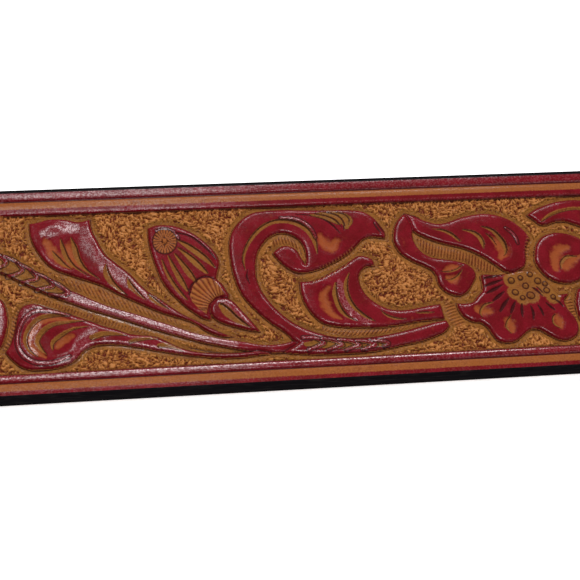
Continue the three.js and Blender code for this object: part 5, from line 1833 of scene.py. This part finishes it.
@dataclass
class Buckle:
    """The buckle: a frame round three sides, a bar and a prong. Millimetres, before it tilts round the bar."""

    course: Course
    length: float = 40.0
    bar_radius: float = 2.2
    arm_width: float = 6.5
    end_width: float = 7.0
    thickness: float = 4.4
    corner: float = 9.0
    inner_half: float = 20.0
    bevel: float = 0.9
    eye_radius: float = 3.8
    prong_width: float = 4.6
    prong_thickness: float = 3.4
    prong_overhang: float = 1.0

    def settle(self, rings: Array) -> Array:
        """Tips the buckle about the bar until its far end rests on the table, and puts it on the bar's axis.

        Args:
            rings: points round a bar at 0, with the frame's far end at less than 0.
        Returns:
            The points in their place.
        """
        half, reach = self.thickness / 2, self.length - self.bevel
        tilt = math.asin(self.course.bar_height / math.hypot(reach, half)) - math.atan2(half, reach)
        x, y, z = rings[..., 0], rings[..., 1], rings[..., 2]
        return np.stack([x * math.cos(tilt) - z * math.sin(tilt) + self.course.bar_x, y,
                         x * math.sin(tilt) + z * math.cos(tilt) + self.course.bar_height], -1)

    def frame_rings(self) -> Array:
        """The frame: a rounded section carried up one arm, round the far end and back down the other.

        The corners are quarter ellipses, and each arm's end is a half circle about the bar.

        Returns:
            The rings, shaped (rings, points, 3).
        """
        far = self.length - self.end_width / 2
        middle = self.inner_half + self.arm_width / 2
        bend_x, bend_y = self.corner - self.end_width / 2, self.corner - self.arm_width / 2
        quarter, turn = np.linspace(0, np.pi / 2, 18), np.linspace(1.45, 0, 8)
        arm = np.stack([np.concatenate([self.bar_radius * np.sin(turn), np.linspace(-1, -far + bend_x, 14)]),
                        np.full(22, -middle)], -1)
        bend = np.stack([-far + bend_x - bend_x * np.sin(quarter), -middle + bend_y - bend_y * np.cos(quarter)], -1)
        end = np.stack([np.full(12, -far), np.linspace(-middle + bend_y, 0, 13)[1:]], -1)
        half = np.concatenate([arm, bend[1:], end])
        thick = np.concatenate([np.cos(turn), np.ones(len(half) - len(turn))])
        wide = np.interp(half[:, 0], [-far, -far + bend_x], [self.end_width, self.arm_width])
        path = np.concatenate([half, (half * (1, -1))[-2::-1]])
        thick, wide = np.concatenate([thick, thick[-2::-1]]), np.concatenate([wide, wide[-2::-1]])
        ahead = np.gradient(path, axis=0)
        ahead /= np.hypot(ahead[:, :1], ahead[:, 1:])
        section = rounded(1, 1, 48, 0.42)
        sideways = section[None, :, :1] * wide[:, None, None]
        side = np.stack([-ahead[:, 1], ahead[:, 0]], -1)[:, None]
        flat = path[:, None] + side * sideways
        up = section[None, :, 1] * (self.thickness * thick)[:, None]
        return np.concatenate([flat, up[..., None]], -1)

    def drum_rings(self, radius: float, half: float, round_off: float) -> Array:
        """A drum about the bar's axis, with quarter-circle edges.

        Args:
            radius, half: its radius and half its length.
            round_off: the radius of its edges.
        Returns:
            The rings, shaped (rings, points, 3).
        """
        turn = np.linspace(0, np.pi / 2, 6)
        edge = np.stack([half - round_off + round_off * np.sin(turn),
                         radius - round_off + round_off * np.cos(turn)], -1)
        profile = np.concatenate([[[-half, 0.05]], (edge * (-1, 1))[::-1], edge, [[half, 0.05]]])
        angle = np.arange(48) / 48 * 2 * np.pi
        y = np.broadcast_to(profile[:, :1], (len(profile), 48))
        return np.stack([profile[:, 1:] * np.sin(angle), y, profile[:, 1:] * np.cos(angle)], -1)

    def prong_rings(self) -> Array:
        """The prong: a rounded section carried from its eye over the frame's far end, where it narrows a little.

        Returns:
            The rings, shaped (rings, points, 3).
        """
        under = self.thickness / 2 - 0.35
        tip = self.length - self.prong_overhang
        level = under + self.prong_thickness / 2
        knots = ((-0.6, 1.0, 0.8), (-2.6, 2.3, 0.95), (-5.2, level - 0.15, 1),
                 (-9, level, 1), (-20, level, 1), (-30, level, 1),
                 (-tip + 3, level, 0.96), (-tip + 1.4, level - 0.1, 0.86),
                 (-tip + 0.5, level - 0.3, 0.62), (-tip + 0.02, level - 0.5, 0.2))
        line = curve(knots, 6, False)
        ahead = np.gradient(line[:, :2], axis=0)
        ahead /= np.hypot(ahead[:, :1], ahead[:, 1:])
        section = rounded(1, 1, 40, 0.6) * (self.prong_width, self.prong_thickness)
        y = section[None, :, 0] * line[:, 2:]
        rise = section[None, :, 1] * line[:, 2:]
        x = line[:, :1] + ahead[:, 1:] * rise
        z = line[:, 1:2] - ahead[:, :1] * rise
        return np.stack([x, y, z], -1)[:, ::-1]

    def build(self, metal: Material) -> list[Object]:
        """Makes the frame, the bar with the prong's eye, and the prong.

        Args:
            metal: their material.
        Returns:
            The pieces.
        """
        shapes = {
            "buckle_frame": self.frame_rings(),
            "buckle_bar": self.drum_rings(self.bar_radius, self.inner_half + 1, 0.3),
            "prong_eye": self.drum_rings(self.eye_radius, self.prong_width / 2, 0.6),
            "prong": self.prong_rings(),
        }
        made = []
        for name, rings in shapes.items():
            piece = tube(name, self.settle(rings), metal, smooth_below=60)
            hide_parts("buckle")
            made.append(piece)
        return made


@dataclass
class Studio:
    """The table, the lights and the camera."""

    camera_at: Triple = (-40.605, -71.750, 157.269)
    right: Triple = (0.993536, -0.084695, 0.075584)
    up: Triple = (0.045796, 0.908300, 0.415804)
    ahead: Triple = (0.103869, 0.409655, -0.906308)
    lens: float = 62.07
    sensor: float = 36.0
    floor_half: float = 6.0
    world_glow: float = 0.05

    def add(self, name: str, data: bpy.types.ID, axes: Array, at: Triple) -> Object:
        """Adds a light or a camera.

        Args:
            name: its name.
            data: the light or the camera.
            axes: its own x, y and z axes, one to a row.
            at: where it stands, in metres.
        Returns:
            The object.
        """
        holder = bpy.data.objects.new(name, data)
        bpy.context.scene.collection.objects.link(holder)
        turned = np.eye(4)
        turned[:3, :3], turned[:3, 3] = np.array(axes).T, at
        holder.matrix_world = turned.T.tolist()
        return holder

    def light(self, name: str, at: Triple, aim: Triple, size: Point, watts: float) -> None:
        """A rectangular soft light, turned to face a place.

        Args:
            name: its name.
            at, aim: where it stands and the place it faces, in metres.
            size: its width and height, in metres.
            watts: how strong it is.
        """
        lamp = bpy.data.lights.new(name, "AREA")
        lamp.shape = "RECTANGLE"
        lamp.size, lamp.size_y = size
        lamp.energy = watts
        away = np.array(at) - np.array(aim)
        away /= np.linalg.norm(away)
        side = np.cross((0.0, 1.0, 0.0), away)
        side /= np.linalg.norm(side)
        self.add(name, lamp, (side, np.cross(away, side), away), at)

    def lights(self) -> None:
        """Lights from overhead, from behind on the left for the sheen and low for the relief, and a fill."""
        self.light("overhead", (-0.06, -0.1, 1.6), (-0.04, 0, 0), (0.5, 0.4), 9)
        self.light("sheen", (-0.3, 0.74, 1.6), (-0.06, 0, 0), (0.72, 0.42), 12)
        self.light("back", (0.2, 1.35, 1.5), (0, 0, 0), (1.0, 0.6), 29)
        self.light("fill", (1.1, -1.9, 1.3), (0, 0, 0), (1.6, 1.2), 12)
        world = bpy.data.worlds.new("studio")
        world.use_nodes = True
        sky = world.node_tree.nodes["Background"].inputs
        sky["Color"].default_value, sky["Strength"].default_value = (1, 1, 1, 1), self.world_glow
        bpy.context.scene.world = world

    def table(self) -> None:
        """A plain pale floor at height 0."""
        mesh = bpy.data.meshes.new("table")
        half = self.floor_half
        corners = [(-half, -half, 0), (half, -half, 0), (half, half, 0), (-half, half, 0)]
        mesh.from_pydata(corners, [], [(0, 1, 2, 3)])
        mesh.materials.append(StudioFloor().material())
        floor = bpy.data.objects.new("table", mesh)
        bpy.context.scene.collection.objects.link(floor)

    def camera(self) -> None:
        """Looks at the strap's middle as the photograph does."""
        data = bpy.data.cameras.new("camera")
        data.lens, data.sensor_width = self.lens, self.sensor
        data.sensor_fit = "HORIZONTAL"
        data.clip_start, data.clip_end = 0.01, 50
        axes = (self.right, self.up, -np.array(self.ahead))
        bpy.context.scene.camera = self.add("camera", data, axes, np.array(self.camera_at) * MM)

    def build(self) -> None:
        """Sets the table, the lights, the camera and a plain colour transform."""
        self.table()
        self.lights()
        self.camera()
        bpy.context.scene.view_settings.view_transform = "Standard"


def main() -> None:
    """Builds the belt's pieces round the imported parts."""
    logging.basicConfig(level=logging.INFO, format="%(name)s: %(message)s")
    fold_reach = Course.fold_radius + Course.flap_thickness
    course = Course(bar_x=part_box("strap_end")[0].x / MM + fold_reach)
    metal = Nickel().material()
    Strap(course, Tooling()).build()
    Keeper(course).build()
    Post(course, "post_front", 20.0).build(metal)
    Post(course, "post_back", 65.0).build(metal)
    Buckle(course).build(metal)
    Studio().build()


if __name__ == "__main__":
    main()
